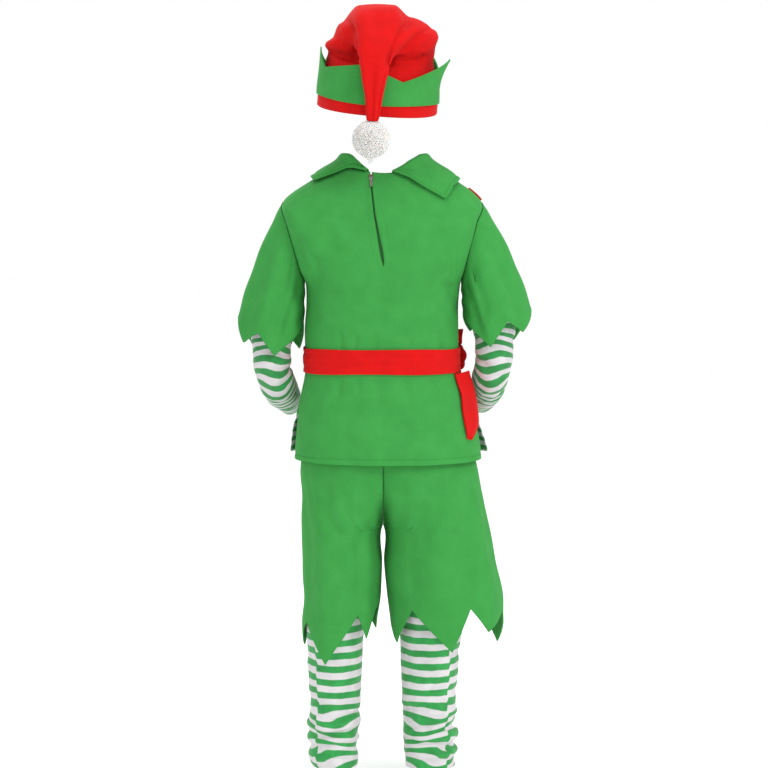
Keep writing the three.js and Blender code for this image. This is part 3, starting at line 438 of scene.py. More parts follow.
def shell(
    name: str, points: Array, thickness: float, closed: bool = False, facing: int = 0,
    measures: tuple[Array, Array] | None = None, hold: Callable[[Array], None] | None = None,
    slit: Slit | None = None,
) -> Piece:
    """A cloth shell: the grid as outer face, and the grid moved in by the thickness as lining face.

    Args:
        name: the piece's name.
        points: rows x columns x 3, the outer face in millimetres.
        thickness: the cloth's thickness.
        closed: whether the last column joins the first.
        facing: 1 or -1 states the outer side; 0 finds it from the middle of each row.
        measures: two rows x columns arrays of places on the flat cloth, in millimetres.
        hold: changes the normals in place where the offset has to stay in a seam's plane.
        slit: where the cloth is cut open.

    Returns:
        The linked object.
    """
    rows, columns = points.shape[:2]
    normals = outward_normals(points, closed, facing)
    if hold:
        hold(normals)
        normals = unit(normals)
    inner = points - normals * thickness
    u, v = flat_measures(points) if measures is None else measures
    ids = np.arange(rows * columns).reshape(rows, columns)
    if slit:
        ids[slit.foot_row :, slit.column + 1] = ids[slit.foot_row :, slit.column]
    if closed:
        ids = np.concatenate([ids, ids[:, :1]], axis=1)
        last = u[:, -1:] + np.linalg.norm(points[:, :1] - points[:, -1:], axis=-1)
        u, v = np.concatenate([u, last], axis=1), np.concatenate([v, v[:, :1]], axis=1)
    places = np.stack([u, v], axis=-1) / 100.0
    offset = rows * columns
    spans = np.array([k for k in range(ids.shape[1] - 1) if not slit or k != slit.column])

    def patch(corners: Sequence[tuple[Array, Array, bool]]) -> tuple[Array, Array]:
        numbers = [ids[r, c] + (offset if back else 0) for r, c, back in corners]
        return np.stack(numbers, axis=-1), np.stack([places[r, c] for r, c, _ in corners], axis=-2)

    def rim(start: tuple[Array, Array], end: tuple[Array, Array]) -> tuple[Array, Array]:
        return patch([(*start, False), (*end, False), (*end, True), (*start, True)])

    row, span = (part.ravel() for part in np.meshgrid(np.arange(rows - 1), spans, indexing="ij"))
    face = [(row, span), (row, span + 1), (row + 1, span + 1), (row + 1, span)]
    lining = face[::-1]
    parts = [patch([(*corner, False) for corner in face]), patch([(*corner, True) for corner in lining])]
    sheets = 2
    first, foot = np.zeros_like(spans), np.full_like(spans, rows - 1)
    parts.append(rim((first, spans + 1), (first, spans)))
    parts.append(rim((foot, spans), (foot, spans + 1)))
    edges = [] if closed else [(0, rows - 1, True), (columns - 1, rows - 1, False)]
    if slit:
        edges += [(slit.column, slit.foot_row, False), (slit.column + 1, slit.foot_row, True)]
    for column, until, forward in edges:
        run = np.arange(until)
        at = np.full_like(run, column)
        ends = ((run, at), (run + 1, at)) if forward else ((run + 1, at), (run, at))
        parts.append(rim(*ends))
    quads = np.concatenate([quad for quad, _ in parts])
    uvs = np.concatenate([uv for _, uv in parts])
    smooth = np.concatenate([np.full(len(quad), k < sheets) for k, (quad, _) in enumerate(parts)])
    everything = np.concatenate([points.reshape(-1, 3), inner.reshape(-1, 3)])
    used, numbers = np.unique(quads, return_inverse=True)
    return quads_to_mesh(name, everything[used], numbers.reshape(quads.shape), uvs, smooth)


def flat_measures(points: Array) -> tuple[Array, Array]:
    """Places on the flat cloth: the distance run along each row and down each column."""
    across = np.linalg.norm(np.diff(points, axis=1, prepend=points[:, :1]), axis=-1)
    down = np.linalg.norm(np.diff(points, axis=0, prepend=points[:1]), axis=-1)
    return np.cumsum(across, axis=1), np.cumsum(down, axis=0)


def run_along(path: Array) -> Array:
    """The distance run from the start of a path to each of its points."""
    return np.concatenate([[0.0], np.cumsum(np.linalg.norm(np.diff(path, axis=0), axis=1))])


def at_runs(distance: Array, run: Array, values: Array) -> Array:
    """Points or directions of a path at the stated distances along it."""
    return np.stack([np.interp(distance, run, values[:, k]) for k in range(3)], axis=-1)


def stitches(
    name: str, path: Array, normals: Array, length: float = 3.0, gap: float = 1.4, half: float = 0.34
) -> Piece:
    """Topstitching: a small six-point thread bead at even steps along a path on the cloth.

    Args:
        name: the piece's name.
        path: n x 3 points in millimetres.
        normals: n x 3 directions out of the cloth.
        length: a stitch's length.
        gap: the space between stitches.
        half: half the thread's thickness.

    Returns:
        The linked object, one joined mesh.
    """
    path = path + normals * THREAD_UP
    run = run_along(path)
    starts = np.arange(gap, run[-1] - length, length + gap)
    head, tail = at_runs(starts, run, path), at_runs(starts + length, run, path)
    centre, out = (head + tail) / 2, unit(at_runs(starts + length / 2, run, normals))
    side = unit(np.cross(tail - head, out)) * half
    lift = out * half
    beads = [head - lift, centre + side, centre + lift * 1.3, centre - side, centre - lift, tail - lift]
    head_side = [[0, 1, 2], [0, 2, 3], [0, 3, 4], [0, 4, 1]]
    tail_side = [[5, 2, 1], [5, 3, 2], [5, 4, 3], [5, 1, 4]]
    faces = np.array(head_side + tail_side)[None] + 6 * np.arange(len(starts))[:, None, None]
    return faces_to_mesh(name, np.stack(beads, axis=1).reshape(-1, 3), faces.reshape(-1, 3).tolist())


def linear(hex_colour: str) -> tuple[float, float, float, float]:
    """An sRGB hex colour as linear red, green, blue and alpha 1."""
    parts = [int(hex_colour[k : k + 2], 16) / 255 for k in (1, 3, 5)]
    red, green, blue = (p / 12.92 if p <= 0.04045 else ((p + 0.055) / 1.055) ** 2.4 for p in parts)
    return (red, green, blue, 1.0)


def feed(tree: Tree, node: bpy.types.Node, values: dict) -> None:
    """Gives a node's own inputs their links and constants, by name or number."""
    for key, value in values.items():
        if isinstance(value, Socket):
            tree.links.new(value, node.inputs[key])
        else:
            node.inputs[key].default_value = value


def add_node(tree: Tree, kind: str, links: dict | None = None, **settings: object) -> bpy.types.Node:
    """Adds a node with its settings and links.

    Args:
        tree: the material's node tree.
        kind: the node's type name, without the part that all share.
        links: input name or number to the output socket or the value it takes.
        settings: attributes of the node.

    Returns:
        The node.
    """
    made = tree.nodes.new("ShaderNode" + kind)
    for key, value in settings.items():
        setattr(made, key, value)
    feed(tree, made, links or {})
    return made


def maths(tree: Tree, operation: str, *values: object) -> Socket:
    """The result of a math node over sockets or numbers."""
    return add_node(tree, "Math", dict(enumerate(values)), operation=operation).outputs[0]


def noise(tree: Tree, place: Socket, scale: float, detail: float, roughness: float = 0.5) -> Socket:
    """The grey of a noise over a place; its scale is in features a metre."""
    inputs = {"Vector": place, "Scale": scale, "Detail": detail, "Roughness": roughness}
    return add_node(tree, "TexNoise", inputs).outputs["Fac"]


def relief(tree: Tree, height: Socket, strength: float, distance: float) -> Socket:
    """The normal of a relief whose full height is a distance in metres."""
    inputs = {"Height": height, "Strength": strength, "Distance": distance}
    return add_node(tree, "Bump", inputs).outputs["Normal"]


def new_material(name: str) -> tuple[bpy.types.Material, Tree, bpy.types.Node, Socket]:
    """A material with an empty Principled shader, its tree, the shader, and the object's own place."""
    material = bpy.data.materials.new(name)
    material.use_nodes = True
    tree = material.node_tree
    place = add_node(tree, "TexCoord").outputs["Object"]
    return material, tree, tree.nodes["Principled BSDF"], place


def coloured(tree: Tree, factor: Socket, *stops: tuple[float, str]) -> Socket:
    """A colour ramp over a factor, from hex stops."""
    ramp = add_node(tree, "ValToRGB", {0: factor})
    for k, (place, colour) in enumerate(stops):
        stop = ramp.color_ramp.elements[k] if k < 2 else ramp.color_ramp.elements.new(place)
        stop.position, stop.color = place, linear(colour)
    return ramp.outputs["Color"]


def lighter(hex_colour: str, times: float) -> str:
    """A hex colour with each part times a number."""
    parts = [min(255, round(int(hex_colour[k : k + 2], 16) * times)) for k in (1, 3, 5)]
    return "#" + "".join(f"{part:02x}" for part in parts)


@dataclass(frozen=True)
class Felt:
    """Brushed polyester felt, cut and sewn: matte, with short tangled fibres that catch side light.

    The fibres are about 0.1 mm, too fine to show, so the nap is drawn as 1.6 mm tufts with a finer
    grain under them, and a slow mottle where the nap lies another way.
    """

    name: str
    shade: str
    middle: str
    light: str
    sheen: float = 0.2
    tuft_mm: float = 1.6
    mottle_mm: float = 26.0

    def build(self) -> bpy.types.Material:
        """The material: mottled colour, high roughness, sheen and a two-scale nap in the bump."""
        material, tree, shader, place = new_material(self.name)
        mottle = noise(tree, place, 1000 / self.mottle_mm, 3.0)
        nap = noise(tree, place, 1000 / self.tuft_mm, 4.0, 0.7)
        half = maths(tree, "MULTIPLY", maths(tree, "ADD", mottle, nap), 0.5)
        feed(tree, shader, {
            "Base Color": coloured(tree, half, (0.3, self.shade), (0.7, self.light), (0.5, self.middle)),
            "Roughness": 0.92, "Specular IOR Level": 0.25, "Sheen Weight": self.sheen,
            "Sheen Roughness": 0.5, "Sheen Tint": linear(self.light),
            "Normal": relief(tree, nap, 0.35, 0.0006),
        })
        return material


@dataclass(frozen=True)
class StripedJersey:
    """Knitted cotton jersey with printed cross stripes: fine ribs along the tube, softly lit.

    The stripes follow the cloth's own length, and their edges waver by a millimetre as on a
    stretched knit. The stitches, about 1 mm, are drawn as 1.8 mm columns.
    """

    name: str
    green: str
    white: str
    period_mm: float
    green_share: float = 0.5
    rib_mm: float = 1.8

    def build(self) -> bpy.types.Material:
        """The material: stripes by the cloth's length, ribs in the bump."""
        material, tree, shader, place = new_material(self.name)
        cloth = add_node(tree, "UVMap", uv_map="cloth").outputs["UV"]
        parts = add_node(tree, "SeparateXYZ", {0: cloth})
        shift = maths(tree, "MULTIPLY", noise(tree, place, 45.0, 2.0), 0.035)
        moved = maths(tree, "ADD", parts.outputs["Y"], shift)
        phase = maths(tree, "FRACT", maths(tree, "MULTIPLY", moved, 100 / self.period_mm))
        away = maths(tree, "ABSOLUTE", maths(tree, "SUBTRACT", phase, 0.5))
        low, high = self.green_share / 2 - 0.025, self.green_share / 2 + 0.025
        stripe = add_node(tree, "MapRange", {"Value": away, "From Min": low, "From Max": high})
        tone = noise(tree, place, 60.0, 4.0)
        green = coloured(tree, tone, (0.35, self.green), (0.7, lighter(self.green, 1.16)))
        white = coloured(tree, tone, (0.35, lighter(self.white, 0.94)), (0.7, self.white))
        colours = {0: stripe.outputs["Result"], 6: green, 7: white}
        ribs = maths(tree, "MULTIPLY", parts.outputs["X"], 100 / self.rib_mm * 2 * math.pi)
        feed(tree, shader, {
            "Base Color": add_node(tree, "Mix", colours, data_type="RGBA").outputs[2],
            "Roughness": 0.8, "Specular IOR Level": 0.3, "Sheen Weight": 0.15,
            "Normal": relief(tree, maths(tree, "SINE", ribs), 0.18, 0.0004),
        })
        return material


@dataclass(frozen=True)
class Plush:
    """Long-pile polyester plush: white curled fibres, with a faint painted glow that stands in for light
    bouncing among them.
    """

    name: str
    colour: str = "#f8f5f2"
    shade: str = "#e9e3df"
    painted_glow: float = 0.03

    def build(self) -> bpy.types.Material:
        """The material: near-white with a warm shade between the tufts, and a faint painted glow."""
        material, tree, shader, place = new_material(self.name)
        tone = noise(tree, place, 220.0, 3.0)
        feed(tree, shader, {
            "Base Color": coloured(tree, tone, (0.3, self.shade), (0.65, self.colour)),
            # The emission is a painted glow that brightens the pile; it is no lamp.
            "Roughness": 0.95, "Sheen Weight": 0.6, "Emission Color": linear("#fff9f4"),
            "Emission Strength": self.painted_glow, "Subsurface Weight": 0.15, "Subsurface Scale": 0.004,
        })
        return material


@dataclass(frozen=True)
class WovenTape:
    """Woven polyester tape or sewing thread: fine cross threads, dyed to match; the zip tape's darker green
    is painted shade.
    """

    name: str
    colour: str
    thread_mm: float = 0.7

    def build(self) -> bpy.types.Material:
        """The material: dyed colour with a fine crossed thread relief."""
        material, tree, shader, place = new_material(self.name)
        grain = noise(tree, place, 1000 / self.thread_mm, 2.0)
        feed(tree, shader, {
            "Base Color": coloured(tree, grain, (0.3, lighter(self.colour, 0.85)), (0.7, self.colour)),
            "Roughness": 0.75, "Normal": relief(tree, grain, 0.3, 0.0002),
        })
        return material


@dataclass(frozen=True)
class Nickel:
    """Nickel-plated zinc, die cast and tumbled: bright grey metal with faint wear."""

    name: str
    colour: str = "#c4c6c8"

    def build(self) -> bpy.types.Material:
        """The material: metal whose roughness wanders slightly."""
        material, tree, shader, place = new_material(self.name)
        wear = noise(tree, place, 900.0, 3.0)
        rough = add_node(tree, "MapRange", {"Value": wear, "To Min": 0.22, "To Max": 0.4}).outputs["Result"]
        feed(tree, shader, {"Base Color": linear(self.colour), "Metallic": 1.0, "Roughness": rough})
        return material


@dataclass(frozen=True)
class RingFold:
    """A fold that runs part of the way round a tube, such as a wrinkle at the elbow or the ankle.

    Angles are in degrees from the table's zero. The fold climbs by tilt millimetres over 90 degrees,
    and fades at both ends of its span.
    """

    angle: float
    place: float
    span: float
    depth: float
    width: float
    tilt: float = 0.0

    def lift(self, angle: Array, along: Array) -> Array:
        """The height that this fold adds at each angle and distance along the tube."""
        away = np.mod(angle - self.angle + 180.0, 360.0) - 180.0
        fade = np.cos(np.clip(away / self.span, -1, 1) * math.pi / 2) ** 1.5
        across = (along - self.place - self.tilt * away / 90.0) / self.width
        return self.depth * fade * np.exp(-(across**2))


def ring_folded(folds: Sequence[RingFold], angle: Array, along: Array) -> Array:
    """The sum of several ring folds."""
    return sum((fold.lift(angle, along) for fold in folds), np.zeros(np.broadcast(angle, along).shape))


def creases_of(*rows: Sequence[float]) -> tuple[Crease, ...]:
    """Creases from rows of: start a, start b, end a, end b, depth, width and, where bowed, bow."""
    return tuple(Crease((a, b), (c, d), *rest) for a, b, c, d, *rest in rows)


def folds_of(*rows: Sequence[float]) -> tuple[RingFold, ...]:
    """Ring folds from rows of: angle, place, span, depth, width and tilt."""
    return tuple(RingFold(*row) for row in rows)


# The tunic's creases run in sideways place and height, in millimetres
BACK_CREASES = creases_of(
    (128, -66, 112, -116, -3.6, 5.5, 3), (118, -78, 92, -132, -2.2, 7, -4),
    (-110, -78, -107, -130, -4.2, 6, 2), (-98, -96, -78, -150, -1.8, 9, 4),
    (-91, -132, -111, -186, -3.0, 6, -5), (104, -140, 100, -205, -1.8, 8, 3),
    (64, -205, 60, -237, -2.4, 4.5), (39, -212, 42, -237, -1.8, 4), (12, -208, 10, -237, -2.2, 5),
    (-87, -206, -90, -237, -2.4, 5), (-40, -216, -36, -237, -1.4, 4.5), (62, -272, 67, -302, -2.6, 5),
    (38, -272, 34, -296, -2.0, 4.5), (9, -272, 5, -310, -2.4, 6), (-30, -272, -36, -300, -1.6, 5),
    (-72, -272, -80, -306, -2.2, 5.5), (0, -104, 2, -176, -2.4, 13), (78, -290, 92, -412, 3.2, 17, 4),
    (22, -300, 18, -412, 2.6, 19, -3), (-48, -296, -60, -412, 2.8, 18, 3),
    (50, -310, 52, -412, -2.6, 13, 2), (-18, -318, -22, -412, -2.0, 14, 2),
    (60, -66, 46, -150, 1.6, 20, 6), (-58, -60, -40, -150, 1.6, 20, -6),
    (84, -40, 66, -96, -1.4, 12, 3), (-84, -38, -68, -92, -1.6, 12, -3),
)

FRONT_CREASES = creases_of(
    (-126, -70, -100, -124, -3.4, 7, 3), (124, -72, 104, -118, -3.0, 7, -3),
    (-58, -80, -30, -150, -2.0, 12, 5), (52, -76, 38, -160, -1.8, 13, -4),
    (70, -204, 66, -237, -2.4, 5), (20, -208, 24, -237, -2.0, 5), (-28, -202, -30, -237, -2.6, 6),
    (-78, -208, -72, -237, -2.0, 5), (58, -274, 64, -330, -2.6, 8, 2), (6, -274, 2, -340, -2.8, 9, -2),
    (-52, -274, -60, -326, -2.4, 8, 2), (88, -290, 98, -370, 3.0, 14, 3),
    (-30, -300, -34, -370, 2.6, 15, -3),
)

# A sleeve's run in degrees round it and hundredths down it
SLEEVE_CREASES = {
    Side.LEFT: creases_of(
        (150, 18, 112, 92, -3.4, 12, 8), (62, 14, 78, 96, 2.6, 15, 5), (104, 8, 92, 66, -2.0, 9, -4),
        (128, 40, 140, 104, 2.4, 10, 3), (30, 20, 42, 104, -2.4, 13, 4),
        (250, 16, 262, 100, -3.2, 14, 6), (222, 30, 214, 104, 2.6, 12, 3),
        (306, 24, 298, 104, 2.4, 15, -5),
    ),
    Side.RIGHT: creases_of(
        (156, 14, 120, 96, -3.8, 12, 9), (70, 10, 82, 92, 2.4, 15, -5), (108, 14, 96, 74, -2.2, 9, 4),
        (132, 44, 146, 104, 2.0, 10, 3), (36, 26, 44, 104, -2.2, 12, -4),
        (246, 14, 258, 100, -3.0, 13, 6), (218, 24, 222, 104, 2.8, 12, -3),
        (300, 30, 304, 104, 2.2, 15, 5),
    ),
}

ELBOW_FOLDS = {
    Side.LEFT: folds_of(
        (120, 34, 90, -3.0, 5, 6), (60, 46, 80, 2.2, 5, -5), (150, 58, 100, -4.2, 5, 8),
        (95, 72, 80, -2.8, 4.5, -6), (250, 66, 90, -4.0, 5, 6), (280, 80, 80, -3.4, 4, -6),
        (260, 92, 70, 2.6, 4, 5), (70, 98, 80, -2.4, 4.5, 7), (200, 112, 90, -2.2, 4, -6),
        (40, 126, 80, 1.8, 4, 5), (130, 140, 90, -2.0, 4, -5), (300, 150, 80, -2.0, 3.6, 6),
        (90, 160, 80, -1.6, 3.4, -4), (220, 172, 90, -1.6, 3.2, 4),
    ),
    Side.RIGHT: folds_of(
        (110, 30, 90, -2.8, 5, -6), (60, 44, 80, 2.0, 5, 6), (140, 56, 100, -4.0, 5, -8),
        (80, 70, 80, -3.0, 4.5, 7), (260, 62, 90, -4.0, 5, -6), (285, 78, 80, -3.2, 4, 6),
        (250, 90, 70, 2.4, 4, -5), (60, 96, 80, -2.6, 4.5, -6), (190, 108, 90, -2.0, 4, 6),
        (30, 122, 80, 1.8, 4, -5), (120, 134, 90, -2.2, 4, 5), (310, 146, 80, -1.8, 3.6, -6),
        (100, 158, 80, -1.8, 3.4, 4), (230, 170, 90, -1.6, 3.2, -4),
    ),
}

BELT_FOLDS = folds_of(
    (20, 9, 70, -1.3, 3.2, 5), (75, 24, 60, -1.5, 3.4, -7), (112, 12, 50, -1.2, 3, 6),
    (150, 27, 40, -1.5, 3.4, 8), (166, 14, 30, -1.6, 3.0, -8), (215, 22, 60, -1.4, 3.2, 6),
    (285, 12, 70, -1.3, 3.2, -6), (330, 26, 60, -1.4, 3.4, 6),
)

# Those of the shorts run in degrees and height
SHORTS_CREASES = {
    Side.LEFT: creases_of(
        (47, -480, 50, -668, 3.2, 11, 3), (64, -430, 66, -632, -2.8, 9, -3),
        (112, -460, 112, -700, 3.4, 14, 4), (90, -410, 92, -600, -2.6, 11, 3),
        (152, -440, 150, -646, -3.0, 12, -4), (30, -420, 34, -520, -2.2, 10, 3),
        (134, -410, 120, -470, -1.8, 10, 3), (194, -460, 194, -690, 3.0, 14, 3),
        (268, -450, 268, -700, 3.2, 14, -4), (230, -430, 230, -650, -2.8, 11, 3),
        (306, -430, 306, -640, -2.8, 11, -3), (338, -440, 336, -520, -2.2, 10, 3),
    ),
    Side.RIGHT: creases_of(
        (26, -500, 26, -676, 2.6, 11, 3), (53, -430, 55, -624, -3.2, 10, 4),
        (93, -450, 93, -688, 3.6, 14, -4), (74, -410, 72, -560, -2.0, 9, 3),
        (114, -440, 116, -620, -3.0, 9, 3), (135, -450, 137, -656, 3.0, 11, 3),
        (164, -440, 168, -632, -2.8, 12, -4), (30, -420, 36, -510, -2.4, 10, -3),
        (205, -450, 205, -688, 3.0, 14, 3), (240, -430, 242, -632, -2.8, 11, 3),
        (278, -450, 278, -696, 3.2, 13, -4), (316, -430, 314, -634, -2.8, 11, 3),
    ),
}

ANKLE_FOLDS = {
    Side.LEFT: folds_of(
        (70, 96, 70, -2.2, 6, 8), (140, 112, 80, -2.0, 6, -9), (60, 150, 80, -1.8, 6, 6),
        (120, 176, 90, -2.6, 5, -8), (60, 196, 90, -3.2, 4.5, 7), (150, 206, 90, -3.0, 4.5, -6),
        (90, 222, 80, -3.6, 4, 8), (30, 232, 80, 2.4, 4, -6), (120, 243, 90, -3.2, 4, 6),
        (80, 256, 80, -2.8, 3.6, -7), (250, 104, 90, -2.2, 6, 7), (300, 168, 90, -2.6, 5, -6),
        (240, 200, 90, -3.2, 4.5, 7), (280, 226, 90, -3.4, 4, -7), (250, 246, 90, -3.0, 4, 6),
    ),
    Side.RIGHT: folds_of(
        (60, 60, 80, -2.4, 7, 9), (130, 98, 80, -2.2, 6, 8), (70, 132, 80, -2.0, 6, -7),
        (130, 158, 90, -2.2, 5, 7), (60, 184, 90, -2.8, 4.5, -7), (140, 200, 90, -3.4, 4.5, 7),
        (80, 214, 80, -3.4, 4, -8), (160, 226, 80, 2.4, 4, 6), (60, 240, 90, -3.4, 4, 7),
        (120, 252, 80, -2.8, 3.6, -6), (250, 100, 90, -2.2, 6, -7), (300, 160, 90, -2.6, 5, 6),
        (230, 196, 90, -3.2, 4.5, -7), (290, 222, 90, -3.4, 4, 7), (240, 244, 90, -3.0, 4, -6),
    ),
}

# The crown's run in degrees and tenths of a table row, the slump's in sideways place and height
CROWN_CREASES = creases_of(
    (60, 22, 300, 30, -2.4, 9, 6), (30, 60, 120, 74, -3.4, 9, 8), (330, 62, 250, 80, -3.4, 9, -8),
    (70, 92, 20, 112, 2.8, 10, 5), (300, 84, 345, 120, -2.6, 9, 5), (150, 70, 215, 96, -3.0, 10, 6),
    (180, 100, 176, 162, -2.4, 14, 5), (120, 96, 140, 156, 2.2, 13, -4),
    (236, 100, 226, 158, -2.2, 13, 4), (90, 30, 100, 58, -2.0, 12, 3), (270, 34, 256, 60, -2.2, 12, -3),
)

SLUMP_FOLDS = creases_of(
    (86, 208, 34, 190, -7.0, 4.5, 3), (84, 220, 44, 205, 3.0, 6, 3), (52, 250, 41, 192, -6.5, 4.5, -5),
    (64, 246, 54, 214, 3.4, 6, -3), (30, 262, 26, 180, 2.6, 12, 2), (-35, 246, -8, 176, -7.0, 5, 4),
    (-26, 272, -38, 236, -6.0, 6, -2), (-78, 244, -22, 194, -4.6, 4, 3),
    (-70, 232, -44, 196, 2.8, 9, 2), (-60, 200, -50, 178, -2.4, 6, 2), (10, 250, 8, 200, -1.8, 10, 3),
)


def turns(count: int) -> Array:
    """Even angles once round, in radians."""
    return np.linspace(0, 2 * math.pi, count, endpoint=False)


def eased(value: Array, start: float, end: float) -> Array:
    """A smooth step from 0 at start to 1 at end."""
    t = np.clip((value - start) / (end - start), 0, 1)
    return t * t * (3 - 2 * t)


def with_angles(count: int, table: Table, last: bool = False) -> Array:
    """Even shares round a tube, with the table's own angles among them so that its corners stay sharp."""
    even = np.linspace(0, 1, count, endpoint=last)
    shares = np.unique(np.round(np.concatenate([even, table.columns["angle"] / 360.0]), 5))
    return shares if last else shares[shares < 1]


def surface_normals(surface: Callable[[Array, Array], Array], u: Array, v: Array, inside: Array) -> Array:
    """Normals of a surface of two parameters by small differences, turned away from a point inside."""
    step = 1e-3
    along = surface(u + step, v) - surface(u - step, v)
    down = surface(u, v + step) - surface(u, v - step)
    normals = unit(np.cross(along, down))
    away = np.sum(normals * (surface(u, v) - inside), axis=-1, keepdims=True)
    return np.where(away < 0, -normals, normals)


def armhole(row: Array) -> Array:
    """Half the fore-and-aft opening of the armhole at a tunic row: a power of a sine between its ends."""
    share = np.clip((row - SHOULDER_TIP) / (ARMPIT - SHOULDER_TIP), 0, 1)
    return ARMHOLE_HALF * np.maximum(np.sin(math.pi * share), 0) ** 0.7


def tunic(panel: Panel, share: Array, row: Array) -> Array:
    """The tunic's outer face: a superellipse section whose height rolls off towards the side seam.

    Args:
        panel: the back or the front.
        share: -1 at the right seam to 1 at the left seam.
        row: fractional row of the table.

    Returns:
        Points in millimetres.
    """
    turn = share * math.pi / 2
    across = powered(np.sin(turn), 2 / SECTION_POWER)
    outward = np.maximum(np.cos(turn), 0) ** (2 / SECTION_POWER)
    edge = SEAM_GAP / 2 + armhole(row)
    back = panel is Panel.BACK
    full = TUNIC.smooth("y_back" if back else "y_front", row)
    half = TUNIC.smooth("half", row) + (0 if back else TUNIC.smooth("flare", row))
    middle = TUNIC.smooth("back" if back else "front", row)
    return stack(
        TUNIC.smooth("centre", row) + half * across,
        panel.value * (edge + (full - edge) * outward),
        middle + (TUNIC.smooth("side", row) - middle) * np.abs(across) ** SHOULDER_ROLL,
    )


def on_tunic(panel: Panel, share: Array, row: Array, lift: Array | float) -> Array:
    """The tunic's face moved along its normal."""
    share, row = np.broadcast_arrays(np.asarray(share, dtype=float), np.asarray(row, dtype=float))
    held = np.clip(share, -0.985, 0.985)
    inside = stack(TUNIC.smooth("centre", row), np.zeros_like(row), TUNIC.smooth("side", row) - 60)
    normals = surface_normals(lambda u, v: tunic(panel, u, v), held, row, inside)
    return tunic(panel, share, row) + normals * np.asarray(lift)[..., None]


def share_at(x: Array, row: Array) -> Array:
    """The share of a tunic row at a sideways place: the inverse of the superellipse."""
    across = (x - TUNIC.smooth("centre", row)) / TUNIC.smooth("half", row)
    return np.arcsin(np.clip(powered(across, SECTION_POWER / 2), -1, 1)) * 2 / math.pi


def slit_x(z: Array) -> Array:
    """Sideways place of the slit at a height."""
    return SLIT.between("z", z, "x")


def armhole_edge(u: Array, side: Side) -> Array:
    """The armhole's edge, from the shoulder tip over the back to the armpit and round by the front."""
    span = ARMPIT - SHOULDER_TIP
    around = np.mod(u, 1.0)
    back = around <= 0.5
    row = np.where(back, SHOULDER_TIP + span * 2 * around, ARMPIT - span * (2 * around - 1))
    share = np.full_like(row, float(side.value))
    edge = np.where(back[..., None], tunic(Panel.BACK, share, row), tunic(Panel.FRONT, share, row))
    return edge + np.array([side.value * 3 * SEAM_GAP, 0, 0])


def sleeve_surface(side: Side, u: Array, v: Array) -> Array:
    """An oversleeve's outer face, from the armhole (v = 0) straight to its jagged edge (v = 1)."""
    x, y, _, half_x, half_y, bulge = SLEEVE_RING[side]
    turn = 2 * math.pi * u
    start = armhole_edge(u, side)
    out = stack(side.value * np.cos(turn), np.sin(turn), np.zeros_like(turn))
    end = stack(x + out[..., 0] * half_x, y + out[..., 1] * half_y, SLEEVE_HEM[side].around(u * 360, "z"))
    swell = bulge * np.sin(math.pi * v) * (1 + np.cos(turn)) / 2
    return start + (end - start) * np.asarray(v)[..., None] + out * swell[..., None]


def tube_section(table: Table, row: Array, turn: Array, side: Side) -> Array:
    """An elliptical section of a bent tube, square to the line through its rows."""

    def place(at: Array) -> Array:
        return stack(*(table.smooth(name, at) for name in "xyz"))

    hand = side.value
    forward = unit(place(row + 0.5) - place(row - 0.5))
    across = unit(np.array([hand, 0.0, 0.0]) - forward * hand * forward[..., :1])
    rear = -hand * np.cross(forward, across)
    wide = (table.smooth("across", row) * np.cos(turn))[..., None]
    deep = (table.smooth("deep", row) * np.sin(turn))[..., None]
    return place(row) + across * wide + rear * deep


def shorts_section(side: Side, u: Array, z: Array) -> Array:
    """One leg of the shorts: angle 0 inseam, 90 back, 180 outside, 270 front."""
    rows = SHORTS[side]
    at = rows.row_at("z", z)
    out, inner = rows.smooth("out", at), rows.smooth("inner", at)
    back, front = rows.smooth("y_back", at), rows.smooth("y_front", at)
    centre, half = (out + inner) / 2, (out - inner) / 2
    least = CROTCH_GAP / 2 / back
    meet = np.maximum(np.arccos(np.clip((centre - CROTCH_GAP / 2) / half, -1, 1)), least)
    turn = meet + (2 * math.pi - 2 * meet) * u
    depth = np.where(np.sin(turn) > 0, back, front)
    return stack(side.value * (centre - half * np.cos(turn)), depth * np.sin(turn), z)


def crown_section(u: Array, row: Array) -> Array:
    """A section of the crown in the hat's frame, turned about the crease line across its back."""
    turn = np.radians(CROWN.smooth("turn", row))
    near, far = CROWN.smooth("near", row), CROWN.smooth("far", row)
    around = 2 * math.pi * u
    reach = (far + near) / 2 - (far - near) / 2 * powered(np.cos(around), CROWN_POWER)
    return stack(
        CROWN.smooth("x", row) + CROWN.smooth("half", row) * powered(np.sin(around), CROWN_POWER),
        CREASE_Y - np.cos(turn) * reach,
        CREASE_Z - CROWN.smooth("drop", row) + np.sin(turn) * reach,
    )


def hat_ring(half_x: Array, half_y: Array, turn: Array, z: Array) -> Array:
    """An upright superellipse ring round the hat."""
    return stack(
        half_x * powered(np.cos(turn), CROWN_POWER), half_y * powered(np.sin(turn), CROWN_POWER) - 1, z
    )


def hat_to_row(points: Array) -> Array:
    """Points from the hat's own frame to the shared one: rolled, tilted back and put on the head."""
    tilted = Matrix.Rotation(-math.radians(HAT_TILT_BACK), 3, "X")
    turned = tilted @ Matrix.Rotation(-math.radians(HAT_ROLL), 3, "Y")
    return points @ np.array(turned).T + np.array(HAT_PLACE)


@dataclass(frozen=True)
class Finish:
    """A material and the slot that its pieces fill."""

    material: bpy.types.Material
    slot: str


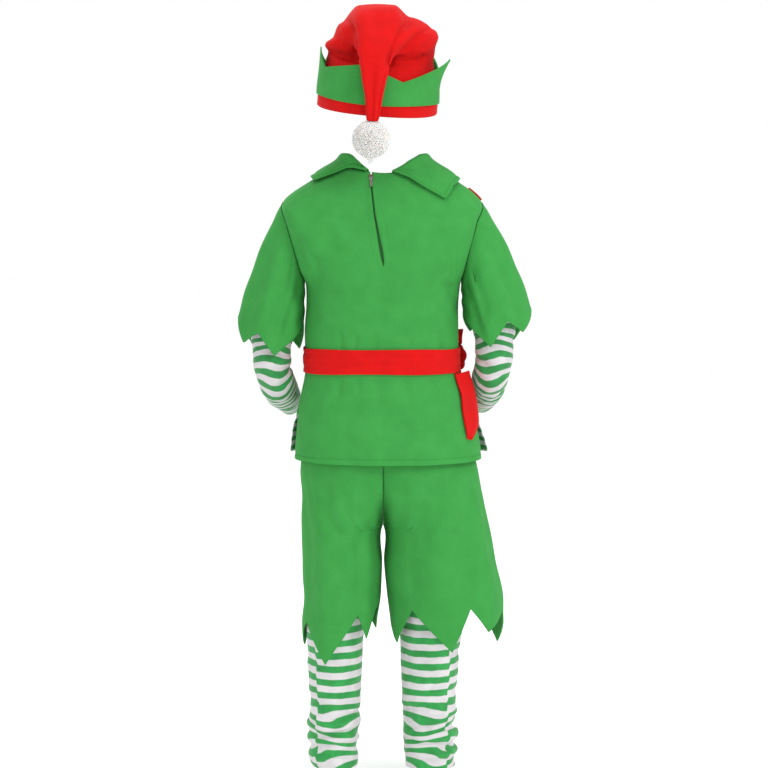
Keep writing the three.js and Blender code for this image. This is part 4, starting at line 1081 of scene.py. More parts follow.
@dataclass(frozen=True)
class Finishes:
    """The costume's materials, each built once."""

    green: Finish
    red: Finish
    sleeve_stripes: Finish
    leg_stripes: Finish
    plush: Finish
    tape: Finish
    green_thread: Finish
    nickel: bpy.types.Material

    @classmethod
    def make(cls) -> "Finishes":
        """Builds them all, in colours read from the photo's lit and shaded parts."""
        green, red = "brushed green polyester felt", "brushed red polyester felt"
        sleeves, legs = (f"striped cotton jersey of the {part}" for part in ("sleeves", "legs"))
        sleeve_jersey = StripedJersey(sleeves, "#26793c", "#cbc8ca", 14.0)
        thread = WovenTape("green polyester sewing thread", "#2c8a38")
        return cls(
            green=Finish(Felt(green, "#2f8438", "#348b3d", "#3a9243").build(), "green_felt"),
            red=Finish(Felt(red, "#b40203", "#c20303", "#cc0505", sheen=0.05).build(), "red_felt"),
            sleeve_stripes=Finish(sleeve_jersey.build(), "striped_jersey"),
            leg_stripes=Finish(StripedJersey(legs, "#288540", "#d0cdcf", 20.5).build(), "striped_jersey"),
            plush=Finish(Plush("white polyester plush").build(), "white_plush"),
            # The zip tape's green is darker than the felt's: painted shade for the gap of the slit, also on
            # the teeth.
            tape=Finish(WovenTape("woven green zip tape with painted shade", "#2f7d3a").build(), "green_tape"),
            green_thread=Finish(thread.build(), "green_felt"),
            nickel=Nickel("nickel-plated zinc").build(),
        )


def clothe(piece: Piece, finish: Finish) -> None:
    """Gives a piece its material and body."""
    piece.data.materials.append(finish.material)
    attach(piece, BODY)


@dataclass
class ClothPiece:
    """One finished cloth piece: its object, the node it stands for and how its cloth is held."""

    made: Piece
    node: str
    finish: Finish
    points: Array
    held: str = "draped"
    closed: bool = False
    rests_on: tuple[str, ...] = ()
    trims: list[Piece] = field(default_factory=list)
    trim_finish: Finish | None = None

    def dress(self) -> None:
        """Hides the node that the piece stands for, and gives the piece and its trims their material and
        body.
        """
        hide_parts(self.node)
        clothe(self.made, self.finish)
        for trim in self.trims:
            clothe(trim, self.trim_finish)


def seam_faded(points: Array, lift: Array, closed: bool, fade: Array) -> Array:
    """The grid moved along its normals by a lift that fades out towards the seams."""
    return points + outward_normals(points, closed) * (lift * fade)[..., None]


def flat_at_sides(normals: Array) -> None:
    """Turns the normals of the first and last column into the side seam's plane."""
    normals[:, [0, -1], 1] = 0


@dataclass
class TunicBody:
    """The tunic's back with its slit, the jagged front and the striped panel under it."""

    finishes: Finishes

    def back(self) -> ClothPiece:
        """The back panel: columns follow the slit, and the hem is folded up and stitched."""
        folded_up = TUNIC_HEM - 0.45
        rows = np.concatenate([np.linspace(0, folded_up, 130), np.linspace(folded_up, TUNIC_HEM, 24)[1:]])
        halves = np.linspace(0, 1, 84)
        middle_z = TUNIC.smooth("back", rows)
        foot = int(np.argmax(middle_z < SLIT.columns["z"][0]))
        width = np.where(np.arange(len(rows)) < foot, SLIT.between("z", middle_z, "width"), 0.0)
        centre = slit_x(middle_z)
        left, right = share_at(centre + width / 2, rows), share_at(centre - width / 2, rows)
        shares = np.concatenate(
            [-1 + (right[:, None] + 1) * halves, left[:, None] + (1 - left[:, None]) * halves], axis=1
        )
        row = np.broadcast_to(rows[:, None], shares.shape)
        points = tunic(Panel.BACK, shares, row)
        x, z = points[..., 0], points[..., 2]
        hem = TUNIC.smooth("back", np.array(float(TUNIC_HEM))) + HEM_FOLD
        lift = creased(BACK_CREASES, x, z) + ripple(x, z, 58, 1.6, 1)
        lift = lift + 0.5 * eased(-z, -hem - 1.2, -hem) - GROOVE * np.exp(-(((z - hem) / 1.6) ** 2))
        slit_edge = np.exp(-(((x - centre[:, None]) / 5.0) ** 2)) * eased(z, SLIT.columns["z"][0] - 8, -70)
        lift = lift + 0.9 * slit_edge
        fade = eased(1 - np.abs(shares), 0, 0.05) * eased(row, 0, 0.3)
        points = seam_faded(points, lift, False, fade)

        made = shell("tunic_back_cloth", points, FELT, hold=flat_at_sides, slit=Slit(len(halves) - 1, foot))
        normals = outward_normals(points, False)
        hem_row = int(np.argmin(np.abs(points[:, 20, 2] - hem)))
        threads = [stitches("hem_stitches", points[hem_row, 1:-1], normals[hem_row, 1:-1])]
        for name, column in (("right", len(halves) - 4), ("left", len(halves) + 3)):
            along = slice(8, foot - 4)
            threads.append(stitches(f"{name}_slit_stitches", points[along, column], normals[along, column]))
        return ClothPiece(made, "tunic_back", self.finishes.green, points, "hung",
                          rests_on=COLLAR_NODES, trims=threads, trim_finish=self.finishes.green_thread)

    def front(self) -> ClothPiece:
        """The front panel, whose hem is cut in five points."""
        shares = np.unique(np.concatenate([np.linspace(-1, 1, 130), FRONT_HEM.columns["share"]]))
        cut = FRONT_CUT_ROW
        rows = np.concatenate([np.linspace(0, cut, 90), np.linspace(cut, cut + 1, 22)[1:]])
        u, v = np.meshgrid(shares, rows)
        hem = FRONT_HEM.between("share", u, "row")
        row = np.where(v <= cut, v, cut + (hem - cut) * (v - cut))
        points = tunic(Panel.FRONT, u, row)
        x, z = points[..., 0], points[..., 2]
        lift = creased(FRONT_CREASES, x, z) + ripple(x, z, 58, 1.6, 2)
        fade = eased(1 - np.abs(u), 0, 0.05) * eased(row, 0, 0.3)
        points = seam_faded(points, lift, False, fade)

        made = shell("tunic_front_cloth", points, FELT, hold=flat_at_sides)
        return ClothPiece(made, "tunic_front", self.finishes.green, points, "hung",
                          rests_on=COLLAR_NODES)

    def skirt(self) -> ClothPiece:
        """The striped panel sewn inside the front, longer than its points."""
        u, v = np.meshgrid(np.linspace(-0.985, 0.985, 130), np.linspace(*FRONT_SKIRT, 40))
        swing = 2.0 * np.sin(u * 11.0 + 0.6) * eased(v, 11.8, FRONT_SKIRT[1])
        points = on_tunic(Panel.FRONT, u, v, -FELT - 1.2 - 2.4 * eased(v, 11, 12.6) + swing)
        aside = 7.0 * eased(np.abs(u), 0.84, 0.98) * eased(v, 11.4, 12.2)
        points = points + stack(np.sign(points[..., 0]) * aside, 0 * u, 0 * u)
        made = shell("front_skirt_cloth", points, KNIT, measures=level_measures(points))
        return ClothPiece(made, "front_skirt", self.finishes.sleeve_stripes, points, "hung",
                          rests_on=("tunic_front",))

    def build(self) -> None:
        """Builds and dresses the three panels."""
        for piece in (self.back(), self.front(), self.skirt()):
            piece.dress()


def level_measures(points: Array) -> tuple[Array, Array]:
    """Places on the flat cloth with each row at one length: stripes go straight round a tube."""
    across, down = flat_measures(points)
    return across, np.broadcast_to(down.mean(axis=1, keepdims=True), down.shape)


def tube_through(rings: list[Array], count: int) -> tuple[Array, Array, Array, float]:
    """A tube through its rings, of which the first two are sewn inside another piece.

    Args:
        rings: the rings, from the seam down.
        count: how many rows the finished grid has.

    Returns:
        The grid, each point's degrees round it, each row's run down, and the third ring's run.
    """
    points = cubic(np.stack(rings), np.linspace(0, len(rings) - 1, count))
    down = flat_measures(points)[1].mean(axis=1, keepdims=True)
    first = float(down[int(round(2 / (len(rings) - 1) * (count - 1))), 0])
    shares = np.linspace(0, 1, points.shape[1], endpoint=False)
    return points, np.broadcast_to(shares * 360, points.shape[:2]), down, first


@dataclass
class Collar:
    """One half of the pointed collar: stand, rolled fold and fall, topstitched near its edge."""

    side: Side
    finishes: Finishes

    def control(self, u: Array) -> Array:
        """Seven rows from the inside of the stand over the fold to the fall's edge."""
        table = COLLAR[self.side]
        first, *_, last = table.columns["turn"]
        turn = first + (last - first) * u
        rise, fall = table.between("turn", turn, "rise"), table.between("turn", turn, "fall")
        hand = self.side.value
        share = np.where(turn <= 1, hand * turn, hand * (2 - turn))
        back = (turn <= 1)[:, None]
        zero = np.zeros_like(share)

        def lifted(row: Array) -> Array:
            panels = (on_tunic(panel, share, row, DOUBLE_FELT + COLLAR_LIFT[self.side]) for panel in Panel)
            return np.where(back, *panels)

        neck = np.where(back, *(tunic(panel, share, zero) for panel in Panel))
        inward = unit(stack(-neck[:, 0], -neck[:, 1], zero))

        def stand(away: float, height: Array) -> Array:
            return neck + inward * away + stack(zero, zero, height)

        rows = [stand(7, zero - 3), stand(6, rise - 3), stand(2.5, rise + 0.5), stand(-2.5, rise - 1)]
        edge = lifted(fall)
        for share_down in (0.2, 0.6):
            bridge = rows[3] + (edge - rows[3]) * share_down + stack(zero, zero, zero + 5.0 * share_down)
            rows.append(0.3 * lifted(fall * share_down) + 0.7 * bridge)
        return np.stack([*rows, edge])

    def build(self) -> None:
        """Builds and dresses the collar half with its stitching."""
        control = self.control(np.linspace(0, 1, 110))
        rows = np.linspace(0, 6, 96)
        points = cubic(control, rows)
        outer = eased(rows, 3, 4.5)[:, None] * np.ones(points.shape[1])
        x, y, z = (points[..., k] for k in range(3))
        lift = ripple(x, y + z, 34, 0.9, 5 + self.side.value) * outer
        lift = lift + 2.6 * eased(rows, 4.4, 6.0)[:, None]
        steps = np.linalg.norm(np.diff(points, axis=0), axis=-1)
        from_edge = np.concatenate([np.cumsum(steps[::-1], axis=0)[::-1], np.zeros((1, points.shape[1]))])
        lift = lift - GROOVE * np.exp(-(((from_edge - COLLAR_INSET) / 1.7) ** 2)) * outer
        points = points + outward_normals(points, False, self.side.value) * lift[..., None]
        name = self.side.word
        made = shell(f"{name}_collar_cloth", points, DOUBLE_FELT, facing=self.side.value)
        normals = outward_normals(points, False, self.side.value)
        line = np.argmin(np.abs(from_edge - COLLAR_INSET), axis=0)[6:-6]
        columns = np.arange(6, points.shape[1] - 6)
        thread = stitches(f"{name}_collar_stitches", points[line, columns], normals[line, columns])
        ClothPiece(made, f"collar_{name}", self.finishes.green, points, "folded",
                   rests_on=TUNIC_NODES, trims=[thread],
                   trim_finish=self.finishes.green_thread).dress()


@dataclass
class Arm:
    """One oversleeve with its jagged edge, and the striped undersleeve inside it."""

    side: Side
    finishes: Finishes

    def over(self) -> ClothPiece:
        """The green oversleeve: soft folds run from the armhole down to its points."""
        shares = with_angles(150, SLEEVE_HEM[self.side])
        u, v = np.meshgrid(shares, np.linspace(0, 1, 90))
        points = sleeve_surface(self.side, u, v)
        lift = creased(SLEEVE_CREASES[self.side], u * 360, v * 100) + ripple(u * 220, v * 150, 52, 1.5, 8)
        lift = lift + 0.6 * eased(v, 0.0, 0.03) - 0.6
        points = seam_faded(points, lift, True, eased(v, 0, 0.08))

        def upright_seam(normals: Array) -> None:
            normals[0, :, 0] = 0

        name = self.side.word
        made = shell(f"{name}_oversleeve", points, FELT, closed=True, hold=upright_seam)
        return ClothPiece(made, f"sleeve_{name}", self.finishes.green, points, "hung", True,
                          rests_on=TUNIC_NODES)

    def under(self) -> ClothPiece:
        """The striped undersleeve, wrinkled at the elbow and along the forearm."""
        table = UNDERSLEEVE[self.side]
        x, y, z, *_ = SLEEVE_RING[self.side]
        u = np.linspace(0, 1, 110, endpoint=False)
        zero = np.zeros_like(u)
        edge_middle = (armhole_edge(zero[:1], self.side) + armhole_edge(zero[:1] + 0.5, self.side))[0] / 2
        rows = []
        for along in UNDERSLEEVE_SEAM:
            inside = edge_middle + (np.array([x, y, z - 30]) - edge_middle) * along
            normals = surface_normals(lambda s, t: sleeve_surface(self.side, s, t), u, zero + along, inside)
            rows.append(sleeve_surface(self.side, u, zero + along) - normals * UNDERSLEEVE_IN)
        turn = 2 * math.pi * u
        rows += [tube_section(table, zero + row, turn, self.side) for row in range(table.last + 1)]
        points, angle, down, first = tube_through(rows, 132)
        along = down - first
        lift = ring_folded(ELBOW_FOLDS[self.side], angle, along)
        lift = lift + ripple(angle * 0.5, down, 24, 1.0, 12 + self.side.value)
        hidden = 1 - eased(along, 22, 52)
        lift = lift - hidden * (np.maximum(lift, 0) + 4.0)
        points = seam_faded(points, lift, True, eased(along, -30, 4) * np.ones_like(angle))
        name = self.side.word
        across, level = level_measures(points)
        sway = 4.0 * np.sin(4 * math.pi * u + level / 21) * eased(level, first, first + 40)
        made = shell(f"{name}_undersleeve", points, KNIT, closed=True, measures=(across, level + sway))
        return ClothPiece(made, f"undersleeve_{name}", self.finishes.sleeve_stripes, points,
                          "hung", True, rests_on=(f"sleeve_{name}",))

    def build(self) -> None:
        """Builds and dresses both sleeves."""
        for piece in (self.over(), self.under()):
            piece.dress()


@dataclass
class Sash:
    """The red felt sash: belt, knot, loop and two hanging ends at the right hip."""

    finishes: Finishes

    def belt(self) -> ClothPiece:
        """The belt round the waist, made from the tunic's own rows moved out."""
        ahead = np.linspace(-1, 1, 130)
        u, v = np.meshgrid(ahead, np.linspace(BELT_TOP, BELT_FOOT, 24))
        halves = []
        for panel, share in ((Panel.BACK, -u), (Panel.FRONT, u)):
            halves.append(on_tunic(panel, share, v, SASH_LIFT + FELT)[:, :-1])
        points = np.concatenate(halves, axis=1)
        angle = np.broadcast_to(np.linspace(0, 360, points.shape[1], endpoint=False), points.shape[:2])
        down = (v[:, :1] - BELT_TOP) * BELT_WIDE
        lift = 1.0 + ring_folded(BELT_FOLDS, angle, down) - 0.5 * np.cos(down / BELT_WIDE * 2 * math.pi)
        points = seam_faded(points, lift, True, np.ones_like(lift))
        sway = 0.9 * np.sin(np.radians(angle) * 5 + 1) * (down / BELT_WIDE - 0.5)
        points = points + stack(np.zeros_like(lift), np.zeros_like(lift), sway)
        made = shell("sash_belt_cloth", points, FELT, closed=True)
        return ClothPiece(made, "sash_belt", self.finishes.red, points, "stretched", True,
                          rests_on=TUNIC_NODES)

    def end(self, panel: Panel) -> ClothPiece:
        """A loose end of the sash, laid over the tunic with its edge turned up a little."""
        table = SASH_END[panel]
        u, v = np.meshgrid(np.linspace(0, 1, 30), np.linspace(0, table.last, 70))
        start, stop = table.smooth("from", v), table.smooth("to", v)
        lift = FELT + 1.4 + 1.6 * np.sin(math.pi * (0.2 + 1.5 * u + 0.12 * v)) ** 2 * eased(v, 0.2, 1.4)
        lift = lift + 0.8 * np.sin(v * 2.1 + u * 2)
        if panel is Panel.BACK:
            lift = lift + 12.0 * u**1.5 * (1 - eased(v, 0, 4))
        share = start + (stop - start) * u
        points = on_tunic(panel, share, table.smooth("row", v), np.maximum(lift, FELT + 1.0))
        name = panel.name.lower()
        facing = -1 if panel is Panel.BACK else 1
        made = shell(f"{name}_sash_end", points, FELT, facing=self.facing(points, facing))
        return ClothPiece(made, f"sash_end_{name}", self.finishes.red, points, "hung",
                          rests_on=("sash_knot",))

    @staticmethod
    def facing(points: Array, fallback: int) -> int:
        """The sign that turns a panel's grid normals away from the wearer's upright middle line."""
        out = points * np.array([1.0, 1.0, 0.0])
        agreement = float(np.sum(grid_normals(points, False) * out))
        return fallback if abs(agreement) < 1e-6 else int(math.copysign(1, agreement))

    def knot(self) -> None:
        """The knot: a pulled-tight lump of felt whose wraps show as curved grooves."""
        ball = ball_grid(96, 60, 0.02, math.pi - 0.02)
        wrap = 0.10 * np.sin(3.2 * ball[..., 2] * 2 + 2.2 * ball[..., 1] + 1.1 * ball[..., 0])
        cross = -0.10 * np.exp(-(((ball[..., 1] * 0.8 + ball[..., 2] * 0.6 - 0.15) / 0.13) ** 2))
        points = ball * (1.0 + wrap + cross)[..., None] * np.array(KNOT_HALF)
        turned = np.array(Matrix.Rotation(math.radians(KNOT_TURN), 3, "Z"))
        points = points @ turned.T + np.array(KNOT_CENTRE)
        made = closed_lump("sash_knot_cloth", points)
        clothe(made, self.finishes.red)
        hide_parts("sash_knot")

    def loop(self) -> None:
        """The loop of the bow above the knot, a folded band."""
        x, y, _ = KNOT_CENTRE
        half_x, half_y, half_z = LOOP_HALF
        turn, side = np.meshgrid(turns(72), np.linspace(-1, 1, 12))
        flare = 1 + 0.35 * np.maximum(np.sin(turn), 0)
        points = stack(x + half_x * side * flare, y + half_y * np.cos(turn),
                       LOOP_FOOT + half_z + half_z * np.sin(turn) + 0.6 * side**2)
        made = shell("sash_loop_cloth", points, FELT, closed=True)
        ClothPiece(made, "sash_loop", self.finishes.red, points, "folded", True,
                   rests_on=("sash_knot",)).dress()

    def patch(self) -> None:
        """The red felt patch sewn on the front of the right shoulder."""
        u, v = np.meshgrid(np.linspace(-0.99, -0.8, 26), np.linspace(1.45, 1.95, 20))
        points = on_tunic(Panel.FRONT, u, v, FELT + 0.6)
        made = shell("shoulder_patch_cloth", points, FELT, facing=self.facing(points, 1))
        ClothPiece(made, "shoulder_patch", self.finishes.red, points, "laid",
                   rests_on=("tunic_front",)).dress()

    def build(self) -> None:
        """Builds and dresses the sash's pieces and the patch."""
        for piece in (self.belt(), self.end(Panel.BACK), self.end(Panel.FRONT)):
            piece.dress()
        self.knot()
        self.loop()
        self.patch()


def ball_grid(columns: int, rings: int, first: float, last: float) -> Array:
    """A ball of radius 1 as rings, from one angle from its top to another."""
    u, v = np.meshgrid(turns(columns), np.linspace(first, last, rings))
    return stack(np.cos(u) * np.sin(v), np.sin(u) * np.sin(v), np.cos(v))


def closed_lump(name: str, points: Array) -> Piece:
    """A closed solid from a grid of rings, closed by a point at the first and last ring's middle."""
    rings, columns = points.shape[:2]
    poles = np.stack([points[0].mean(axis=0), points[-1].mean(axis=0)])
    everything = np.concatenate([points.reshape(-1, 3), poles])
    row, span = (part.ravel() for part in np.indices((rings - 1, columns)))
    start, below, ahead = row * columns, (row + 1) * columns, (span + 1) % columns
    quads = np.stack([start + span, start + ahead, below + ahead, below + span], axis=-1)
    k = np.arange(columns)
    after, last = (k + 1) % columns, (rings - 1) * columns
    top, foot = np.full(columns, rings * columns), np.full(columns, rings * columns + 1)
    faces = quads.tolist() + np.stack([after, k, top], axis=-1).tolist()
    faces += np.stack([last + k, last + after, foot], axis=-1).tolist()
    a, b, c = (everything[quads[:, n]] for n in range(3))
    if float(np.sum(a * np.cross(b, c))) < 0:
        faces = [face[::-1] for face in faces]
    return faces_to_mesh(name, everything, faces)


@dataclass
class Zip:
    """The back zip: two tapes, their teeth, and the metal slider with its swinging pull."""

    finishes: Finishes
    rows: tuple[float, float] = (0.25, 4.6)
    tape_width: float = 11.0
    pitch: float = 1.8
    tooth_half: tuple[float, float, float] = (0.95, 0.3, 0.45)
    stagger: float = 0.55

    def tape(self, side: Side) -> None:
        """One tape under an edge of the slit."""
        u, v = np.meshgrid(np.linspace(0, 1, 8), np.linspace(*self.rows, 90))
        x = slit_x(TUNIC.smooth("back", v)) + side.value * (SEAM_GAP / 2 + self.tape_width * u)
        points = on_tunic(Panel.BACK, share_at(x, v), v, -FELT - 1.5)
        name = side.word
        made = shell(f"{name}_zip_tape", points, TAPE, facing=Sash.facing(points, 1))
        ClothPiece(made, f"zip_tape_{name}", self.finishes.tape, points, "hung",
                   rests_on=("tunic_back",)).dress()

    def teeth(self) -> None:
        """The coil's teeth: a small block every 1.8 mm, to the left and right of the line by turns."""
        rows = np.linspace(0.2, self.rows[1] - 0.1, 400)
        x = slit_x(TUNIC.smooth("back", rows))
        line = on_tunic(Panel.BACK, share_at(x, rows), rows, -FELT - 0.7)
        run = run_along(line)
        at = np.arange(0.6, run[-1], self.pitch / 2)
        centre = at_runs(at, run, line)
        along = unit(np.gradient(centre, axis=0))
        across = unit(np.array([1.0, 0, 0]) - along * along[:, :1])
        out = np.cross(across, along)
        shift = np.where(np.arange(len(at)) % 2 == 0, self.stagger, -self.stagger)[:, None]
        wide, deep, high = self.tooth_half
        corners = [(i, j, k) for i in (-1, 1) for j in (-1, 1) for k in (-1, 1)]
        points = np.stack([centre + across * (shift + wide * i) + along * deep * j + out * high * k
                           for i, j, k in corners], axis=1)
        face = np.array([[0, 1, 3, 2], [4, 6, 7, 5], [0, 4, 5, 1], [2, 3, 7, 6], [0, 2, 6, 4], [1, 5, 7, 3]])
        faces = (face[None] + 8 * np.arange(len(at))[:, None, None]).reshape(-1, 4)
        no_uv, no_smooth = np.zeros((*faces.shape, 2)), np.zeros(len(faces), bool)
        made = quads_to_mesh("zip_teeth", points.reshape(-1, 3), faces, no_uv, no_smooth)
        clothe(made, self.finishes.tape)

    def build(self) -> None:
        """Builds tapes and teeth, and finishes the slider's and pull's own metal."""
        for side in Side:
            self.tape(side)
        self.teeth()
        for node in ("zip_slider", "zip_pull"):
            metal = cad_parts[node]
            metal.data.materials.clear()
            metal.data.materials.append(self.finishes.nickel)


@dataclass
class Legwear:
    """One leg of the shorts and the striped leg inside it."""

    side: Side
    finishes: Finishes

    def shorts(self) -> ClothPiece:
        """One leg of the shorts, with long soft folds that lead to the points of its hem."""
        shares = with_angles(150, SHORTS_HEM[self.side], last=True)
        hem = SHORTS_HEM[self.side].between("angle", shares * 360, "z")
        above = np.linspace(SHORTS[self.side].columns["z"][0], SHORTS_FOOT, 72)
        below = np.linspace(0, 1, 62)[1:]
        levels = [np.full_like(shares, z) for z in above]
        z = np.stack(levels + [SHORTS_FOOT + (hem - SHORTS_FOOT) * t for t in below])
        u = np.broadcast_to(shares, z.shape)
        points = shorts_section(self.side, u, z)
        lift = creased(SHORTS_CREASES[self.side], u * 360, z)
        lift = lift + ripple(u * 380, z, 66, 1.7, 20 + self.side.value)
        inseam = eased(u, 0, 0.06) * eased(1 - u, 0, 0.06)
        points = seam_faded(points, lift * inseam, False, eased(-z, SHORTS_TOP, 320))
        groove = (1.6 + 26 * eased(-z, 440, 500)) * eased(z, -575, CROTCH) * eased(-z, SHORTS_TOP, 330)
        points[..., 1] -= np.sign(points[..., 1]) * np.minimum(
            groove * np.exp(-((points[..., 0] / 7.5) ** 2)), np.abs(points[..., 1]) * 0.7
        )

        def flat_at_inseam(normals: Array) -> None:
            for column in (0, -1):
                joined = (np.abs(points[:, column, 0]) < 1) & (points[:, column, 2] > CROTCH)
                normals[joined, column, 0] = 0
                normals[~joined, column, 1] = 0

        name = self.side.word
        made = shell(f"{name}_shorts_leg", points, FELT, hold=flat_at_inseam)
        return ClothPiece(made, f"shorts_{name}", self.finishes.green, points, "hung",
                          rests_on=("shorts_waistband",))

    def striped(self) -> ClothPiece:
        """The striped leg, sewn inside the shorts and bunched over the ankle."""
        table = LEG[self.side]
        hand = self.side.value
        u = np.linspace(0, 1, 110, endpoint=False)
        turn = 2 * math.pi * u
        rows = []
        for level in LEG_SEAM:
            z = np.full_like(u, level)
            inside = shorts_section(self.side, np.linspace(0, 1, 40), np.full(40, level)).mean(axis=0)
            held = np.clip(u, 0.004, 0.996)
            normals = surface_normals(lambda s, t: shorts_section(self.side, s, t), held, z, inside)
            rows.append(shorts_section(self.side, u, z) - normals * LEG_IN)
        for row in range(table.last + 1):
            x, z, across, deep = (table.columns[name][row] for name in ("x", "z", "across", "deep"))
            rows.append(stack(x - hand * across * np.cos(turn), deep * np.sin(turn), np.full_like(turn, z)))
        points, angle, down, first = tube_through(rows, 190)
        lift = ANKLE_DEPTH * ring_folded(ANKLE_FOLDS[self.side], angle, down - first)
        lift = lift + ripple(angle * 0.8, down, 38, 1.1, 24 + hand)
        points = seam_faded(points, lift, True, eased(down - first, -20, 10) * np.ones_like(lift))
        name = self.side.word
        across, level = level_measures(points)
        sway = 6.0 * np.sin(4 * math.pi * u + level / 13) * eased(level, first + 150, first + 215)
        level = level + sway + 7.0 * (u > LEG_SEAM_TURN)
        made = shell(f"{name}_striped_leg", points, KNIT, closed=True, measures=(across, level))
        return ClothPiece(made, f"leg_{name}", self.finishes.leg_stripes, points, "gathered",
                          True, rests_on=(f"shorts_{name}",))

    def build(self) -> None:
        """Builds and dresses both layers of the leg."""
        for piece in (self.shorts(), self.striped()):
            piece.dress()


@dataclass
class Waistband:
    """The elasticated waistband of the shorts, under the tunic."""

    finishes: Finishes

    def build(self) -> None:
        """Builds and dresses the band, with small even gathers."""
        turn, v = np.meshgrid(turns(200), np.linspace(0, 1, 12))
        left, right = (SHORTS[side].columns for side in (Side.LEFT, Side.RIGHT))
        x = np.cos(turn) * np.where(np.cos(turn) > 0, left["out"][0], right["out"][0])
        y = np.sin(turn) * np.where(np.sin(turn) > 0, left["y_back"][0], left["y_front"][0])
        points = stack(x, y, WAISTBAND[0] + (WAISTBAND[1] - WAISTBAND[0]) * v)
        points = seam_faded(points, 0.35 * np.sin(turn * 44), True, np.sin(math.pi * v))
        made = shell("shorts_waistband_cloth", points, DOUBLE_FELT, closed=True)
        ClothPiece(made, "shorts_waistband", self.finishes.green, points, "gathered", True).dress()


